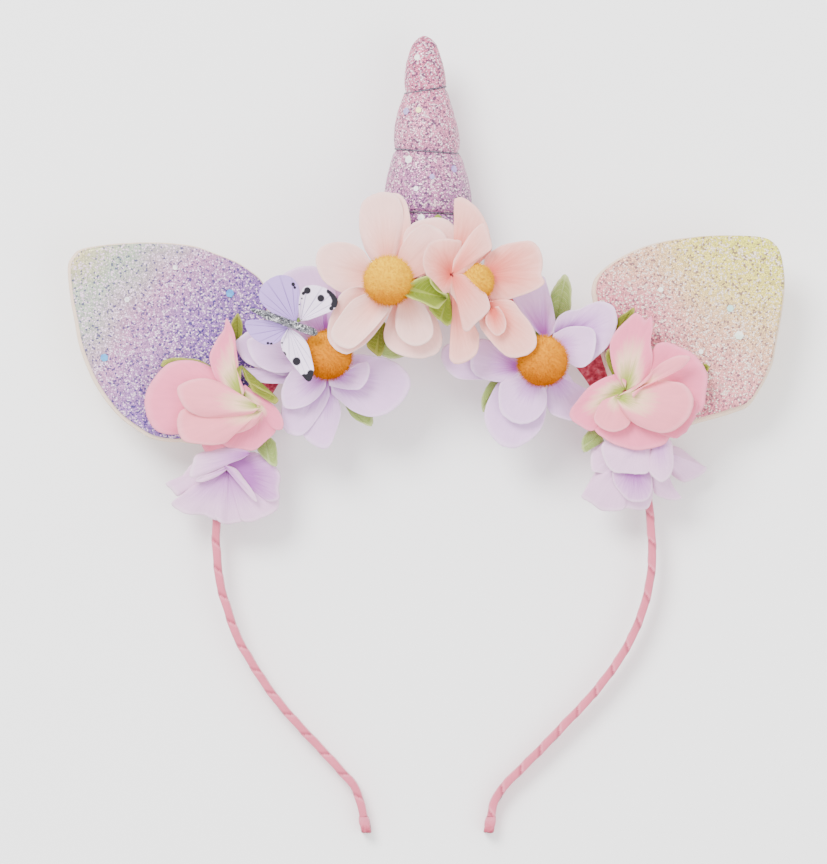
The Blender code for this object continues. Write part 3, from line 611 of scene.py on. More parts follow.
petal_piece("blush_right_back_row", [
    dict(root=(453, 277), cut=[(453, 262), (460, 242), (459, 225), (457, 212), (454, 202), (462, 200),
        (472, 206), (480, 215), (486, 226), (489, 237), (491, 247), (489, 255), (475, 268)],
        z=(24.0, 22.0), cup=0.8),
    dict(root=(451, 277), cut=[(451, 286), (449, 294), (440, 296), (432, 293), (429, 285), (426, 277),
        (423, 268), (423, 259), (427, 249), (434, 243), (445, 241), (454, 242), (461, 244), (459, 255),
        (454, 266)], z=(23.6, 24.6), cup=0.8, shade=0.1),
    dict(root=(482, 277), cut=[(484, 260), (490, 254), (502, 247), (516, 244), (529, 243), (537, 249),
        (541, 259), (541, 270), (540, 277), (543, 285), (531, 293), (514, 299), (501, 303), (492, 305),
        (486, 294)], z=(24.2, 23.0), cup=1.0, shade=0.15, ruffle=0.4),
    dict(root=(484, 303), cut=[(493, 303), (502, 301), (512, 303), (519, 312), (528, 323), (534, 335),
        (535, 346), (529, 354), (518, 358), (508, 358), (499, 352), (488, 340), (480, 329), (478, 316)],
        z=(24.2, 23.6), cup=0.8),
    dict(root=(453, 285), cut=[(464, 292), (469, 311), (473, 329), (478, 335), (478, 347), (475, 356),
        (467, 362), (458, 365), (452, 363), (449, 357), (451, 342), (451, 324), (449, 309), (449, 294)],
        z=(24.4, 21.8), cup=0.8),
], BLUSH_DEEP, "blush_daisy_right_back_petals", 7)
petal_piece("blush_right_front_row", [
    dict(root=(491, 309), cut=[(497, 308), (502, 315), (505, 324), (503, 333), (497, 337), (491, 334),
        (485, 325), (485, 317)], z=(26.0, 26.6), cup=0.6, shade=0.3),
    dict(root=(451, 277), cut=[(453, 263), (462, 248), (472, 234), (482, 226), (486, 232), (489, 241),
        (491, 250), (485, 256), (476, 263), (467, 273), (458, 277)], z=(29.0, 27.4), cup=0.5),
    dict(root=(451, 277), cut=[(464, 276), (473, 281), (480, 288), (486, 298), (489, 309), (484, 317),
        (475, 325), (467, 333), (462, 329), (461, 316), (456, 304), (450, 295)], z=(29.0, 27.4), belly=0.8,
        cup=-0.6),
], BLUSH_DEEP, "blush_daisy_right_front_petals", 8)

# %% [markdown]
# The roses have broad, curled petals round a green-yellow heart. Their dye runs
# from cream at the heart to pink at the rim.

# %% Roses
ROSE_LOOK = petal_look("rose petal cloth", rgb(156, 174, 74), rgb(242, 200, 172), rgb(240, 126, 158),
    rgb(246, 160, 184), reach=0.6)
ROSE_PALE = petal_look("pale rose petal cloth", rgb(150, 168, 66), rgb(242, 196, 166), rgb(244, 142, 158),
    rgb(250, 182, 190), reach=0.5)
petal_piece("rose_left_back_row", [
    dict(root=(246, 402), cut=[(228, 382), (218, 372), (207, 365), (194, 361), (180, 361), (168, 365),
        (158, 375), (149, 389), (146, 402), (149, 418), (157, 430), (168, 434), (180, 434), (204, 431),
        (226, 424)], z=(13.5, 10.4), belly=1.2, cup=0.6, shade=-0.2),
    dict(root=(243, 399), cut=[(228, 389), (218, 380), (213, 369), (211, 356), (217, 342), (225, 330),
        (228, 319), (236, 336), (235, 351), (238, 364), (241, 378), (246, 391)], z=(13.7, 13.6), cup=1.2,
        shade=0.35),
    dict(root=(242, 391), cut=[(246, 385), (255, 392), (266, 399), (278, 409), (284, 421), (283, 429),
        (275, 429), (265, 419), (255, 409)], z=(13.5, 12.4), cup=0.5),
    dict(root=(262, 404), cut=[(277, 422), (276, 432), (268, 440), (255, 450), (242, 449), (228, 447),
        (219, 440)], z=(13.5, 11.2), cup=0.4, shade=-0.3),
    dict(root=(255, 404), cut=[(237, 444), (227, 447), (219, 450), (207, 452), (201, 438), (197, 422),
        (206, 409)], z=(13.4, 10.4), cup=0.4, shade=-0.5),
], ROSE_LOOK, "rose_left_back_petals", 9)
petal_piece("rose_left_front_row", [
    dict(root=(263, 410), cut=[(264, 414), (256, 425), (246, 431), (230, 436), (228, 442), (215, 445),
        (201, 444), (186, 441), (180, 432), (179, 420), (184, 410), (204, 404), (230, 402)],
        z=(16.4, 15.2), belly=0.9, cup=-0.5, shade=-0.1),
    dict(root=(262, 407), cut=[(255, 413), (242, 416), (224, 417), (206, 417), (190, 411), (181, 398),
        (180, 387), (194, 380), (208, 379), (224, 384), (239, 393), (253, 401)], z=(17.6, 17.0), belly=1.6,
        cup=-0.9, shade=0.05),
], ROSE_PALE, "rose_left_front_petals", 10)
petal_piece("rose_right_back_row", [
    dict(root=(624, 391), cut=[(616, 379), (612, 370), (609, 355), (609, 342), (615, 331), (624, 322),
        (633, 314), (639, 316), (644, 321), (650, 317), (651, 329), (649, 342), (651, 355), (650, 368),
        (644, 381)], z=(13.5, 14.0), cup=1.4, shade=0.2),
    dict(root=(629, 391), cut=[(646, 370), (650, 357), (655, 345), (666, 343), (679, 348), (690, 353),
        (698, 361), (704, 370), (706, 379), (704, 394), (702, 407), (694, 415), (684, 426), (672, 428),
        (653, 418)], z=(13.5, 12.0), belly=1.2, cup=0.8, shade=-0.2),
    dict(root=(624, 391), cut=[(625, 381), (618, 375), (609, 376), (597, 381), (586, 389), (577, 400),
        (569, 411), (570, 419), (579, 426), (591, 431), (601, 420), (612, 405)], z=(13.5, 13.2), cup=0.8,
        shade=0.3),
    dict(root=(618, 394), cut=[(601, 401), (594, 411), (591, 422), (594, 431), (605, 440), (618, 446),
        (635, 450), (651, 448), (663, 444), (669, 435), (671, 425), (655, 411)], z=(13.5, 13.2), cup=0.4,
        shade=-0.4),
    dict(root=(638, 392), tip=(690, 424), width=50, z=(13.5, 13.2), cup=0.6, round=0.36, shade=-0.3),
], ROSE_LOOK, "rose_right_back_petals", 11)
petal_piece("rose_right_front_row", [
    dict(root=(615, 396), cut=[(605, 399), (599, 404), (594, 413), (593, 421), (601, 429), (612, 432),
        (624, 428), (629, 420), (625, 409), (619, 400)], z=(16.4, 15.8), belly=0.5, cup=-0.4, shade=-0.1),
    dict(root=(615, 397), cut=[(624, 393), (638, 384), (653, 382), (670, 382), (682, 385), (690, 395),
        (691, 406), (686, 418), (676, 428), (664, 433), (650, 431), (635, 425), (625, 417), (619, 410)],
        z=(17.2, 17.0), belly=1.6, cup=-0.9, shade=0.1),
    dict(root=(629, 393), cut=[(631, 398), (643, 386), (653, 382), (668, 375), (680, 368), (688, 358),
        (679, 356), (668, 359), (655, 367), (648, 379), (638, 385)], z=(17.8, 18.6), belly=1.0, cup=1.0,
        ruffle=0.4),
], ROSE_PALE, "rose_right_front_petals", 12)

# %% [markdown]
# A lavender bell closes the garland on each side. Its petals hang down over
# the band and curl back past it to the table.

# %% Lavender bells
BELL_LOOK = petal_look("lavender petal cloth", rgb(166, 96, 172), rgb(206, 150, 206), rgb(228, 184, 220),
    rgb(248, 226, 238), reach=0.8)
petal_piece("lavender_left_back_row", [
    dict(root=(235, 456), cut=[(204, 456), (191, 465), (180, 478), (166, 483), (172, 490), (178, 496),
        (188, 489), (204, 478)], z=(8.4, 2.0), belly=1.2, cup=0.4, shade=-0.5),
    dict(root=(228, 469), cut=[(207, 472), (195, 483), (182, 495), (172, 503), (177, 509), (188, 514),
        (204, 515), (218, 520), (228, 511), (230, 491)], z=(8.4, 4.4), belly=0.8, cup=0.5, ruffle=0.4),
    dict(root=(228, 469), cut=[(217, 498), (215, 514), (219, 521), (226, 524), (234, 523), (243, 521),
        (252, 514), (248, 496)], z=(8.2, 4.8), belly=0.6, cup=0.4, ruffle=0.6),
    dict(root=(228, 469), cut=[(237, 498), (239, 511), (242, 520), (251, 522), (262, 518), (273, 513),
        (279, 507), (278, 496), (268, 487), (255, 478)], z=(8.6, 5.2), belly=0.6, cup=0.5, ruffle=0.6),
    dict(root=(226, 468), cut=[(235, 459), (252, 452), (264, 456), (274, 463), (281, 476), (279, 488),
        (280, 499), (268, 501), (255, 491), (242, 480)], z=(8.8, 6.2), belly=0.5, cup=0.6, shade=0.6),
], BELL_LOOK, "lavender_left_back_petals", 13)
petal_piece("lavender_left_front_row", [
    dict(root=(252, 453), cut=[(242, 448), (226, 446), (210, 450), (197, 455), (194, 462), (191, 472),
        (192, 477), (204, 475), (217, 470), (229, 464), (242, 459)], z=(11.2, 10.4), belly=0.7, cup=-0.4,
        shade=0.05),
    dict(root=(228, 468), cut=[(225, 465), (213, 472), (200, 477), (197, 481), (206, 481), (218, 476),
        (227, 470)], z=(10.4, 9.8), belly=0.3, cup=0.4, shade=-0.2),
    dict(root=(225, 466), cut=[(228, 465), (237, 469), (245, 479), (253, 490), (258, 501), (252, 498),
        (243, 487), (233, 474)], z=(11.0, 9.6), belly=0.4, cup=0.5, shade=0.0),
], BELL_LOOK, "lavender_left_front_petals", 14)
petal_piece("lavender_right_back_row", [
    dict(root=(655, 448), cut=[(666, 444), (680, 448), (692, 457), (702, 465), (707, 468), (703, 474),
        (694, 479), (685, 482), (676, 478), (666, 470)], z=(8.4, -2.0), belly=2.2, cup=0.4, ruffle=0.4,
        shade=-0.4),
    dict(root=(653, 465), cut=[(666, 470), (671, 483), (676, 492), (681, 498), (673, 500), (663, 498),
        (655, 494), (650, 483)], z=(8.2, 4.6), belly=0.6, cup=0.5, shade=-0.5),
    dict(root=(631, 457), cut=[(653, 489), (651, 500), (647, 508), (638, 510), (625, 508), (613, 511),
        (605, 502), (605, 480)], z=(8.4, 5.0), belly=0.6, cup=0.5, ruffle=0.5, shade=-0.1),
    dict(root=(627, 457), cut=[(596, 470), (591, 478), (584, 490), (581, 497), (589, 502), (600, 510),
        (611, 511), (624, 508), (627, 493)], z=(8.6, 5.4), belly=0.6, cup=0.5, ruffle=0.4, shade=-0.4),
    dict(root=(627, 448), cut=[(605, 441), (593, 445), (590, 457), (591, 470), (596, 472), (609, 474),
        (622, 470)], z=(8.8, 7.4), belly=0.4, cup=0.4, shade=-0.5),
], BELL_LOOK, "lavender_right_back_petals", 15)
petal_piece("lavender_right_front_row", [
    dict(root=(633, 459), cut=[(611, 472), (613, 483), (619, 492), (627, 500), (636, 502), (646, 500),
        (651, 491), (651, 480), (648, 470)], z=(10.0, 8.0), belly=0.4, cup=0.5, shade=0.45),
    dict(root=(640, 439), cut=[(605, 439), (600, 447), (602, 457), (606, 466), (613, 472), (625, 473),
        (637, 474), (647, 472), (651, 459), (652, 446)], z=(11.4, 10.8), belly=0.6, cup=-0.6, shade=-0.3),
    dict(root=(656, 433), cut=[(651, 446), (648, 459), (648, 471), (652, 477), (659, 482), (666, 479),
        (671, 470), (672, 456), (670, 441)], z=(11.8, 11.2), belly=0.7, cup=-0.4, shade=0.0),
], BELL_LOOK, "lavender_right_front_petals", 16)

# %% [markdown]
# The pompoms are balls of cut yarn. A lumpy core carries short fibres that
# stand out of it, each a thin three-sided spike; painted shade darkens below.

# %% Pompoms
FIBRES = 2400
GOLDEN_TURN = 2.399963
FIBRE_ROOT, FIBRE_TIP = 0.075, 0.015


def pompom(name, middle, radius, squash, warm, node_name, seed):
    look, tree, shader = material(f"{name} yarn", roughness=0.95, specular=0.0)
    coordinates = object_coordinates(tree)
    place = node(tree, "ShaderNodeSeparateXYZ")
    tree.links.new(coordinates, place.inputs[0])
    # Painted shade: the yarn's colour runs darker towards the bottom of the ball.
    low = sheet(middle[0], middle[1] + 26).y
    high = sheet(middle[0], middle[1] - 20).y
    height = node(tree, "ShaderNodeMapRange", **{"From Min": low, "From Max": high})
    tree.links.new(place.outputs[1], height.inputs["Value"])
    speck = node(tree, "ShaderNodeTexNoise", Scale=2600.0, Detail=2.0)
    tree.links.new(coordinates, speck.inputs["Vector"])
    speckle = math_node(tree, "MULTIPLY", math_node(tree, "SUBTRACT", speck.outputs["Fac"], 0.5), 0.7)
    tone = math_node(tree, "ADD", height.outputs[0], speckle)
    tree.links.new(ramp(tree, tone, warm), shader.inputs["Base Color"])
    spot = random.Random(seed)
    bm = bmesh.new()
    bmesh.ops.create_icosphere(bm, subdivisions=4, radius=1.0)
    to_room = LIES.to_3x3()
    centre = sheet(*middle)
    for vert in bm.verts:
        lump = 0.93 + 0.05 * noise.noise(vert.co * 4 + Vector((seed, 0, 0)))
        vert.co = centre + to_room @ Vector((vert.co.x, vert.co.y, vert.co.z * squash)) * (lump * radius * MM)
    for k in range(FIBRES):
        z = 1 - 1.85 * (k + 0.5) / FIBRES
        turn = k * GOLDEN_TURN
        flat = math.sqrt(max(0, 1 - z * z))
        out = Vector((flat * math.cos(turn), flat * math.sin(turn), z))
        out = (out + Vector([spot.uniform(-0.05, 0.05) for _ in range(3)])).normalized()
        root = Vector((out.x, out.y, out.z * squash)) * (0.88 * radius)
        lean = (out + Vector([spot.uniform(-0.45, 0.45) for _ in range(3)])).normalized()
        length = radius * spot.uniform(0.12, 0.22)
        fibre = bmesh.ops.create_cone(
            bm, cap_ends=False, segments=3, radius1=FIBRE_ROOT, radius2=FIBRE_TIP, depth=length)
        turn_to = lean.to_track_quat("Z", "Y").to_matrix()
        for vert in fibre["verts"]:
            local = root + turn_to @ (vert.co + Vector((0, 0, 0.5 * length)))
            vert.co = centre + to_room @ (local * MM)
    piece = finish_piece(name, bm, look)
    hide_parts(node_name)
    return piece


# Yarn colours from the shaded bottom of a ball (0) to its lit top (1).
GOLD_WARM = [(0.0, rgb(196, 122, 0)), (0.3, rgb(220, 162, 0)), (0.7, rgb(228, 176, 0)),
    (1.0, rgb(236, 188, 0))]
ORANGE_WARM = [(0.0, rgb(170, 90, 0)), (0.35, rgb(200, 122, 0)), (0.8, rgb(212, 138, 0)),
    (1.0, rgb(220, 150, 0))]
pompom("pompom_blush_left_yarn", (388.7, 282.8, 29.9), 7.1, 0.72, GOLD_WARM, "pompom_blush_left", 1)
pompom("pompom_blush_right_yarn", (474.5, 284.0, 26.4), 5.3, 0.42, GOLD_WARM, "pompom_blush_right", 2)
pompom("pompom_lilac_left_yarn", (328.2, 355.7, 18.3), 7.1, 0.62, ORANGE_WARM, "pompom_lilac_left", 3)
pompom("pompom_lilac_right_yarn", (541.4, 361.7, 18.4), 7.3, 0.62, ORANGE_WARM, "pompom_lilac_right", 4)

# %% [markdown]
# The horn is a cone of glitter cloth stuffed with wadding. A thin cord is
# wound round it and pulls the cloth in, so it bulges between the turns. We
# turn its profile, then pucker it near each groove.

# %% Horn
HORN_PROFILE = [(111.6, 0.3), (111.2, 1.4), (110.4, 2.4), (109.0, 3.5), (107.0, 4.2), (104.0, 5.1),
    (101.0, 5.65), (98.4, 5.85), (97.2, 5.75), (96.4, 5.5), (95.4, 6.2), (93.5, 6.8), (90.5, 7.8),
    (86.0, 8.9), (82.4, 9.3), (80.4, 9.15), (79.3, 8.6), (78.2, 9.5), (76.0, 10.3), (72.0, 11.4),
    (67.0, 12.2), (64.2, 12.3), (62.6, 12.0), (61.6, 11.2), (60.4, 12.0), (57.5, 12.5), (52.0, 12.9),
    (48.0, 12.7), (46.6, 12.3)]
HORN_FOOT, HORN_TIP = 46.6, 111.6
HORN_MIDDLE, HORN_LEAN = -0.7, 0.024
FOOT_ABOVE_BAND = 1.8
GROOVES = (96.4, 79.3, 61.6)
horn_heights = [p[0] for p in HORN_PROFILE][::-1]
horn_radii = [p[1] for p in HORN_PROFILE][::-1]


def horn_radius(y):
    for (y0, y1), (r0, r1) in zip(zip(horn_heights, horn_heights[1:]), zip(horn_radii, horn_radii[1:])):
        if y <= y1:
            return r0 + (r1 - r0) * max(0, (y - y0)) / (y1 - y0)
    return horn_radii[-1]


def horn_middle(y):
    """Where the horn's middle line lies at a height: it leans a little."""
    return HORN_MIDDLE + (HORN_TIP - y) * HORN_LEAN


HORN_AROUND, HORN_ALONG = 120, 220
bm = bmesh.new()
bmesh.ops.create_grid(bm, x_segments=HORN_ALONG, y_segments=HORN_AROUND, size=1.0)
for vert in bm.verts:
    u, turn = 0.5 * (vert.co.x + 1), math.pi * vert.co.y
    y = HORN_FOOT + (HORN_TIP - HORN_FOOT) * u
    r = horn_radius(y)
    y_here = y
    for groove in GROOVES:
        near = math.exp(-(((y - groove) / 3.2) ** 2))
        pucker = noise.noise(Vector((4.2 * math.cos(turn), 4.2 * math.sin(turn), groove)))
        r += near * 0.28 * pucker * (1 if abs(y - groove) > 0.5 else 0.4)
        y_here += near * 0.5 * math.sin(turn + groove)
    r += 0.18 * noise.noise(Vector((2.0 * math.cos(turn), 2.0 * math.sin(turn), y * 0.14)))
    r = max(0.02, r)
    x = horn_middle(y) + r * math.cos(turn)
    if u < 1e-6:  # the foot follows the band's arch
        across_arch = (x - ARCH_CENTRE[0]) / ARCH_HALF_WIDE
        arch_height = ARCH_HALF_HIGH * math.sqrt(max(0, 1 - across_arch**2))
        y_here = ARCH_CENTRE[1] + arch_height + FOOT_ABOVE_BAND
    vert.co = mm(x, y_here, r * math.sin(turn))
bmesh.ops.remove_doubles(bm, verts=bm.verts, dist=1e-6)
rim = [e for e in bm.edges if e.is_boundary]
bmesh.ops.holes_fill(bm, edges=rim, sides=0)
bmesh.ops.recalc_face_normals(bm, faces=bm.faces)
horn_look, tree, shader = material("horn glitter cloth", roughness=0.4, metallic=0.15, specular=0.5)
coordinates = object_coordinates(tree)
place = node(tree, "ShaderNodeSeparateXYZ")
tree.links.new(coordinates, place.inputs[0])
rise = node(tree, "ShaderNodeMapRange", **{"From Min": 0.045, "From Max": 0.112})
tree.links.new(place.outputs[1], rise.inputs["Value"])
patch = node(tree, "ShaderNodeTexNoise", Scale=70.0, Detail=3.0)
tree.links.new(coordinates, patch.inputs["Vector"])
drift = math_node(tree, "MULTIPLY", math_node(tree, "SUBTRACT", patch.outputs["Fac"], 0.5), 0.45)
along_horn = math_node(tree, "ADD", rise.outputs[0], drift)
ground = ramp(tree, along_horn, [(0.0, rgb(150, 86, 158)), (0.3, rgb(182, 116, 170)),
    (0.52, rgb(222, 136, 168)), (0.8, rgb(222, 120, 152)), (1.0, rgb(216, 98, 130))])
# The flakes' dark colour is painted shade in dark flakes and gaps; their bright colour is painted glints.
height = glitter_finish(
    tree, shader, coordinates, Color=ground, Dark=rgb(50, 26, 70), Bright=rgb(252, 218, 228),
    Flakes_per_metre=2100.0, Dark_share=0.3, Bright_share=0.26)
bumped(tree, shader, height, 0.5, 0.0003)
horn = finish_piece("horn_cloth", bm, horn_look)
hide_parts("horn")

# %% [markdown]
# The cord is a dark silver twist, under a millimetre thick, that lies in each
# groove. Each turn leans a little. A grid wrapped into a ring makes one turn,
# and its section is turned eight times on the way round, which twists the cord.

# %% Horn cord
CORD_RADIUS, CORD_LIFT, CORD_TWISTS = 0.28, 0.2, 8
CORD_TILTS = (0.55, -0.35, 0.05)
cord_look, tree, shader = material("dark silver cord", roughness=0.4, metallic=0.7)
coordinates = object_coordinates(tree)
twist = node(tree, "ShaderNodeTexNoise", Scale=1600.0, Detail=2.0)
tree.links.new(coordinates, twist.inputs["Vector"])
tree.links.new(ramp(tree, twist.outputs["Fac"], [(0.3, rgb(46, 38, 52)), (0.7, rgb(140, 128, 144))]),
    shader.inputs["Base Color"])
bumped(tree, shader, twist.outputs["Fac"], 0.6, 0.0002)
bm = bmesh.new()
for groove, tilt in zip(GROOVES, CORD_TILTS):
    before = set(bm.verts)
    bmesh.ops.create_grid(bm, x_segments=96, y_segments=8, size=1.0)
    for vert in [v for v in bm.verts if v not in before]:
        turn, ring = math.pi * vert.co.x, math.pi * vert.co.y
        twist_turn = ring + CORD_TWISTS * turn
        y = groove + tilt * math.cos(turn) + 0.5 * math.sin(turn + groove)
        r = horn_radius(groove) + CORD_LIFT + CORD_RADIUS * math.cos(twist_turn)
        x = horn_middle(y) + r * math.cos(turn)
        vert.co = mm(x, y + CORD_RADIUS * math.sin(twist_turn), r * math.sin(turn))
bmesh.ops.remove_doubles(bm, verts=bm.verts, dist=2e-6)
bmesh.ops.recalc_face_normals(bm, faces=bm.faces)
cord = finish_piece("horn_cord", bm, cord_look)

# %% [markdown]
# Each ear is two cut layers: a cream back and a glitter front that stops short
# of the edge. The outline goes through points read from the drawing; a flat
# grid is wrapped into a disc and stretched out to that outline.

# %% Ears
LEFT_EAR = [(69.1, 267.8), (73.9, 256.7), (81.9, 250.3), (102.6, 246.3), (129.7, 243.9), (161.6, 243.6),
    (193.5, 247.1), (217.4, 255.1), (238.1, 263.8), (255.7, 275.8), (263.7, 285.4), (267.0, 300.0),
    (266.0, 325.0), (261.0, 350.0), (254.0, 375.0), (244.0, 400.0), (228.0, 425.0), (211.0, 440.0),
    (198.3, 443.2), (180.7, 441.6), (171.2, 441.6), (153.6, 438.4), (139.3, 430.5), (121.7, 417.7),
    (109.0, 403.4), (96.2, 384.2), (86.7, 363.5), (80.3, 344.4), (75.5, 318.9), (71.5, 296.5)]
RIGHT_EAR = [(593.0, 302.7), (591.5, 292.0), (593.8, 281.2), (599.9, 272.8), (613.7, 262.1),
    (630.5, 252.9), (648.9, 246.0), (671.8, 240.7), (702.5, 237.1), (725.4, 236.5), (748.4, 237.1),
    (763.7, 239.1), (772.9, 244.5), (779.0, 253.7), (782.8, 273.6), (782.8, 293.5), (779.8, 318.0),
    (775.2, 342.5), (771.3, 362.4), (766.7, 374.6), (757.6, 391.4), (746.8, 406.0), (733.1, 412.1),
    (710.1, 419.0), (693.3, 423.6), (678.0, 428.2), (655.0, 426.0), (632.0, 412.0), (613.0, 388.0),
    (601.0, 355.0), (595.0, 325.0)]


def around(outline, share):
    """A point of a smooth closed curve through the outline, share 0 to 1."""
    count = len(outline)
    at = share % 1.0 * count
    i = int(at) % count
    t = at - int(at)
    a, b, c, d = (Vector(outline[(i + k) % count]) for k in (-1, 0, 1, 2))
    return smooth_between(a, b, c, d, t)


def ear_layer(name, outline, middle, z, thick, inset, shift, look, node_name, slot):
    bm = bmesh.new()
    bmesh.ops.create_grid(bm, x_segments=36, y_segments=180, size=1.0)
    for vert in bm.verts:
        share, turn = 0.5 * (vert.co.x + 1), 0.5 * (vert.co.y + 1)
        edge = around(outline, turn)
        reach = (edge - Vector(middle)).length
        wander = 1 + 0.0025 * noise.noise(Vector((edge.x * 0.09, edge.y * 0.09, z)))
        flat = Vector(middle) + (edge - Vector(middle)) * (share * wander * (reach - inset) / reach)
        wave = 0.25 * noise.noise(Vector((flat.x * 0.012, flat.y * 0.012, 3.0)))
        soft_edge = -0.35 * thick * max(0.0, (share - 0.97) / 0.03) ** 2
        vert.co = sheet(flat.x + shift[0], flat.y + shift[1], z + wave + soft_edge)
    bmesh.ops.remove_doubles(bm, verts=bm.verts, dist=1e-6)
    bmesh.ops.recalc_face_normals(bm, faces=bm.faces)
    piece = finish_piece(name, bm, look)
    wall = piece.modifiers.new("layer thickness", "SOLIDIFY")
    wall.thickness = thick * MM
    wall.offset = 0.0
    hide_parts(node_name)
    return piece


def ear_look(name, toward, start, finish, stops, dark, bright, flake_shade_share):
    """Glitter whose ground changes along one direction over the ear."""
    look, tree, shader = material(name, roughness=0.4, metallic=0.12, specular=0.5)
    coordinates = object_coordinates(tree)
    project = node(tree, "ShaderNodeVectorMath", operation="DOT_PRODUCT")
    project.inputs[1].default_value = toward
    tree.links.new(coordinates, project.inputs[0])
    run = node(tree, "ShaderNodeMapRange", **{"From Min": start, "From Max": finish})
    tree.links.new(project.outputs["Value"], run.inputs["Value"])
    patch = node(tree, "ShaderNodeTexNoise", Scale=45.0, Detail=4.0)
    tree.links.new(coordinates, patch.inputs["Vector"])
    drift = math_node(tree, "MULTIPLY", math_node(tree, "SUBTRACT", patch.outputs["Fac"], 0.5), 0.35)
    place = math_node(tree, "ADD", run.outputs[0], drift)
    ground = ramp(tree, place, stops)
    # The share of painted shade among the flakes follows the same run over the ear.
    share = node(tree, "ShaderNodeMapRange", **{"To Min": flake_shade_share[0], "To Max": flake_shade_share[1]})
    tree.links.new(place, share.inputs["Value"])
    height = glitter_finish(
        tree, shader, coordinates, Color=ground, Dark=dark, Bright=bright,
        Flakes_per_metre=2200.0, Dark_share=share.outputs[0], Bright_share=0.25)
    bumped(tree, shader, height, 0.5, 0.0003)
    return look


def felt_look(name, colour):
    look, tree, shader = material(name, roughness=0.95, sheen=0.3, specular=0.1)
    cloth = group_node(tree, weave, Color=colour, Vector=object_coordinates(tree), Threads=9000.0,
        Uneven=0.25)
    tree.links.new(cloth.outputs["Color"], shader.inputs["Base Color"])
    bumped(tree, shader, cloth.outputs["Height"], 0.4, 0.0002)
    return look


LEFT_DYES = [
    (0.0, rgb(228, 206, 130)), (0.2, rgb(184, 196, 172)), (0.38, rgb(204, 146, 182)),
    (0.62, rgb(152, 108, 184)), (1.0, rgb(122, 84, 176)),
]
RIGHT_DYES = [
    (0.0, rgb(212, 50, 104)), (0.25, rgb(228, 98, 138)), (0.45, rgb(240, 156, 160)),
    (0.62, rgb(242, 198, 150)), (0.8, rgb(242, 224, 110)), (1.0, rgb(234, 232, 80)),
]
# Each ear's dark colour is painted shade in its flakes and gaps; its bright colour is painted glints.
LEFT_GLITTER = ear_look(
    "left ear glitter", toward=(0.80, -0.60, 0.0), start=-0.112, finish=-0.030, stops=LEFT_DYES,
    dark=rgb(26, 20, 104), bright=rgb(250, 218, 242), flake_shade_share=(0.05, 0.42))
RIGHT_GLITTER = ear_look(
    "right ear glitter", toward=(0.62, 0.78, 0.0), start=0.030, finish=0.104, stops=RIGHT_DYES,
    dark=rgb(104, 66, 88), bright=rgb(255, 236, 222), flake_shade_share=(0.22, 0.14))
CREAM_FELT = felt_look("cream ear back", rgb(238, 212, 190))
LEFT_MIDDLE, RIGHT_MIDDLE = (170, 340), (690, 330)
BACK_LAYER = dict(z=4.75, thick=0.9, inset=0.0, shift=(0, 0), look=CREAM_FELT, slot="ear_back_cream")
ear_layer("ear_left_back_layer", LEFT_EAR, LEFT_MIDDLE, node_name="ear_left_back", **BACK_LAYER)
ear_layer(
    "ear_left_front_layer", LEFT_EAR, LEFT_MIDDLE, z=6.2, thick=0.8, inset=2.4, shift=(1.2, -1.2),
    look=LEFT_GLITTER, node_name="ear_left_front", slot="ear_lilac_glitter")
ear_layer("ear_right_back_layer", RIGHT_EAR, RIGHT_MIDDLE, node_name="ear_right_back", **BACK_LAYER)
ear_layer(
    "ear_right_front_layer", RIGHT_EAR, RIGHT_MIDDLE, z=6.2, thick=0.8, inset=3.0, shift=(1.8, -2.4),
    look=RIGHT_GLITTER, node_name="ear_right_front", slot="ear_peach_glitter")

# %% [markdown]
# Among the fine flakes lie a few big six-sided sequins. Each is a flat prism,
# a fraction of a millimetre thick, pressed onto the cloth a little askew. Their
# tables give a place on the drawing, half the width in sheet units and a tint.

# %% Sequins
sequin_look, tree, shader = material("pearly sequin", roughness=0.25, specular=0.6)
tint = node(tree, "ShaderNodeAttribute", attribute_name="tint").outputs["Color"]
film = node(tree, "ShaderNodeTexNoise", Scale=420.0, Detail=2.0)
tree.links.new(object_coordinates(tree), film.inputs["Vector"])
sheen = ramp(tree, film.outputs["Fac"], [(0.35, rgb(214, 206, 236)), (0.5, rgb(255, 255, 255)),
    (0.65, rgb(220, 244, 236))])
tree.links.new(mix_colour(tree, 1.0, tint, sheen, "MULTIPLY"), shader.inputs["Base Color"])
bumped(tree, shader, film.outputs["Fac"], 0.3, 0.0001)
WHITE, SKY, LILAC, GREEN = rgb(244, 240, 232), rgb(76, 158, 214), rgb(176, 150, 206), rgb(150, 160, 60)
SEA, STRAW = rgb(190, 220, 214), rgb(226, 214, 130)
SEQUIN_THICK = 0.12
EAR_FACE = 6.95
EAR_SEQUINS = [
    (230.6, 293.8, 4.4, SKY), (105.3, 357.9, 4.2, SKY), (128, 300, 3.0, WHITE), (176, 268, 2.8, WHITE),
    (738.1, 335.6, 4.8, WHITE), (729.2, 308.8, 3.8, SEA), (660, 290, 3.0, WHITE), (700, 352, 2.8, WHITE),
]
HORN_SEQUINS = [
    (408.6, 160.6, 4.4, WHITE), (406, 112, 4.0, LILAC), (454, 170, 4.0, LILAC), (418.5, 111, 3.2, STRAW),
    (417, 58, 3.4, WHITE), (416, 190, 3.0, WHITE), (438, 219.5, 4.2, GREEN), (421, 219, 4.0, WHITE),
    (432, 178, 3.0, LILAC),
]
bm = bmesh.new()
tint_layer = bm.verts.layers.float_color.new("tint")
spot = random.Random(5)


def add_sequin(place, out, half, colour):
    """Adds one sequin at a place, facing out, turned at random."""
    disc = bmesh.ops.create_cone(
        bm, cap_ends=True, segments=6, radius1=half * GRID, radius2=half * GRID * 0.96,
        depth=SEQUIN_THICK * MM)
    face_out = out.normalized().to_track_quat("Z", "Y").to_matrix()
    turn_to = LIES.to_3x3() @ face_out @ Matrix.Rotation(spot.uniform(0, 1), 3, "Z")
    for vert in disc["verts"]:
        vert.co = place + turn_to @ vert.co
        vert[tint_layer] = (*colour, 1.0)


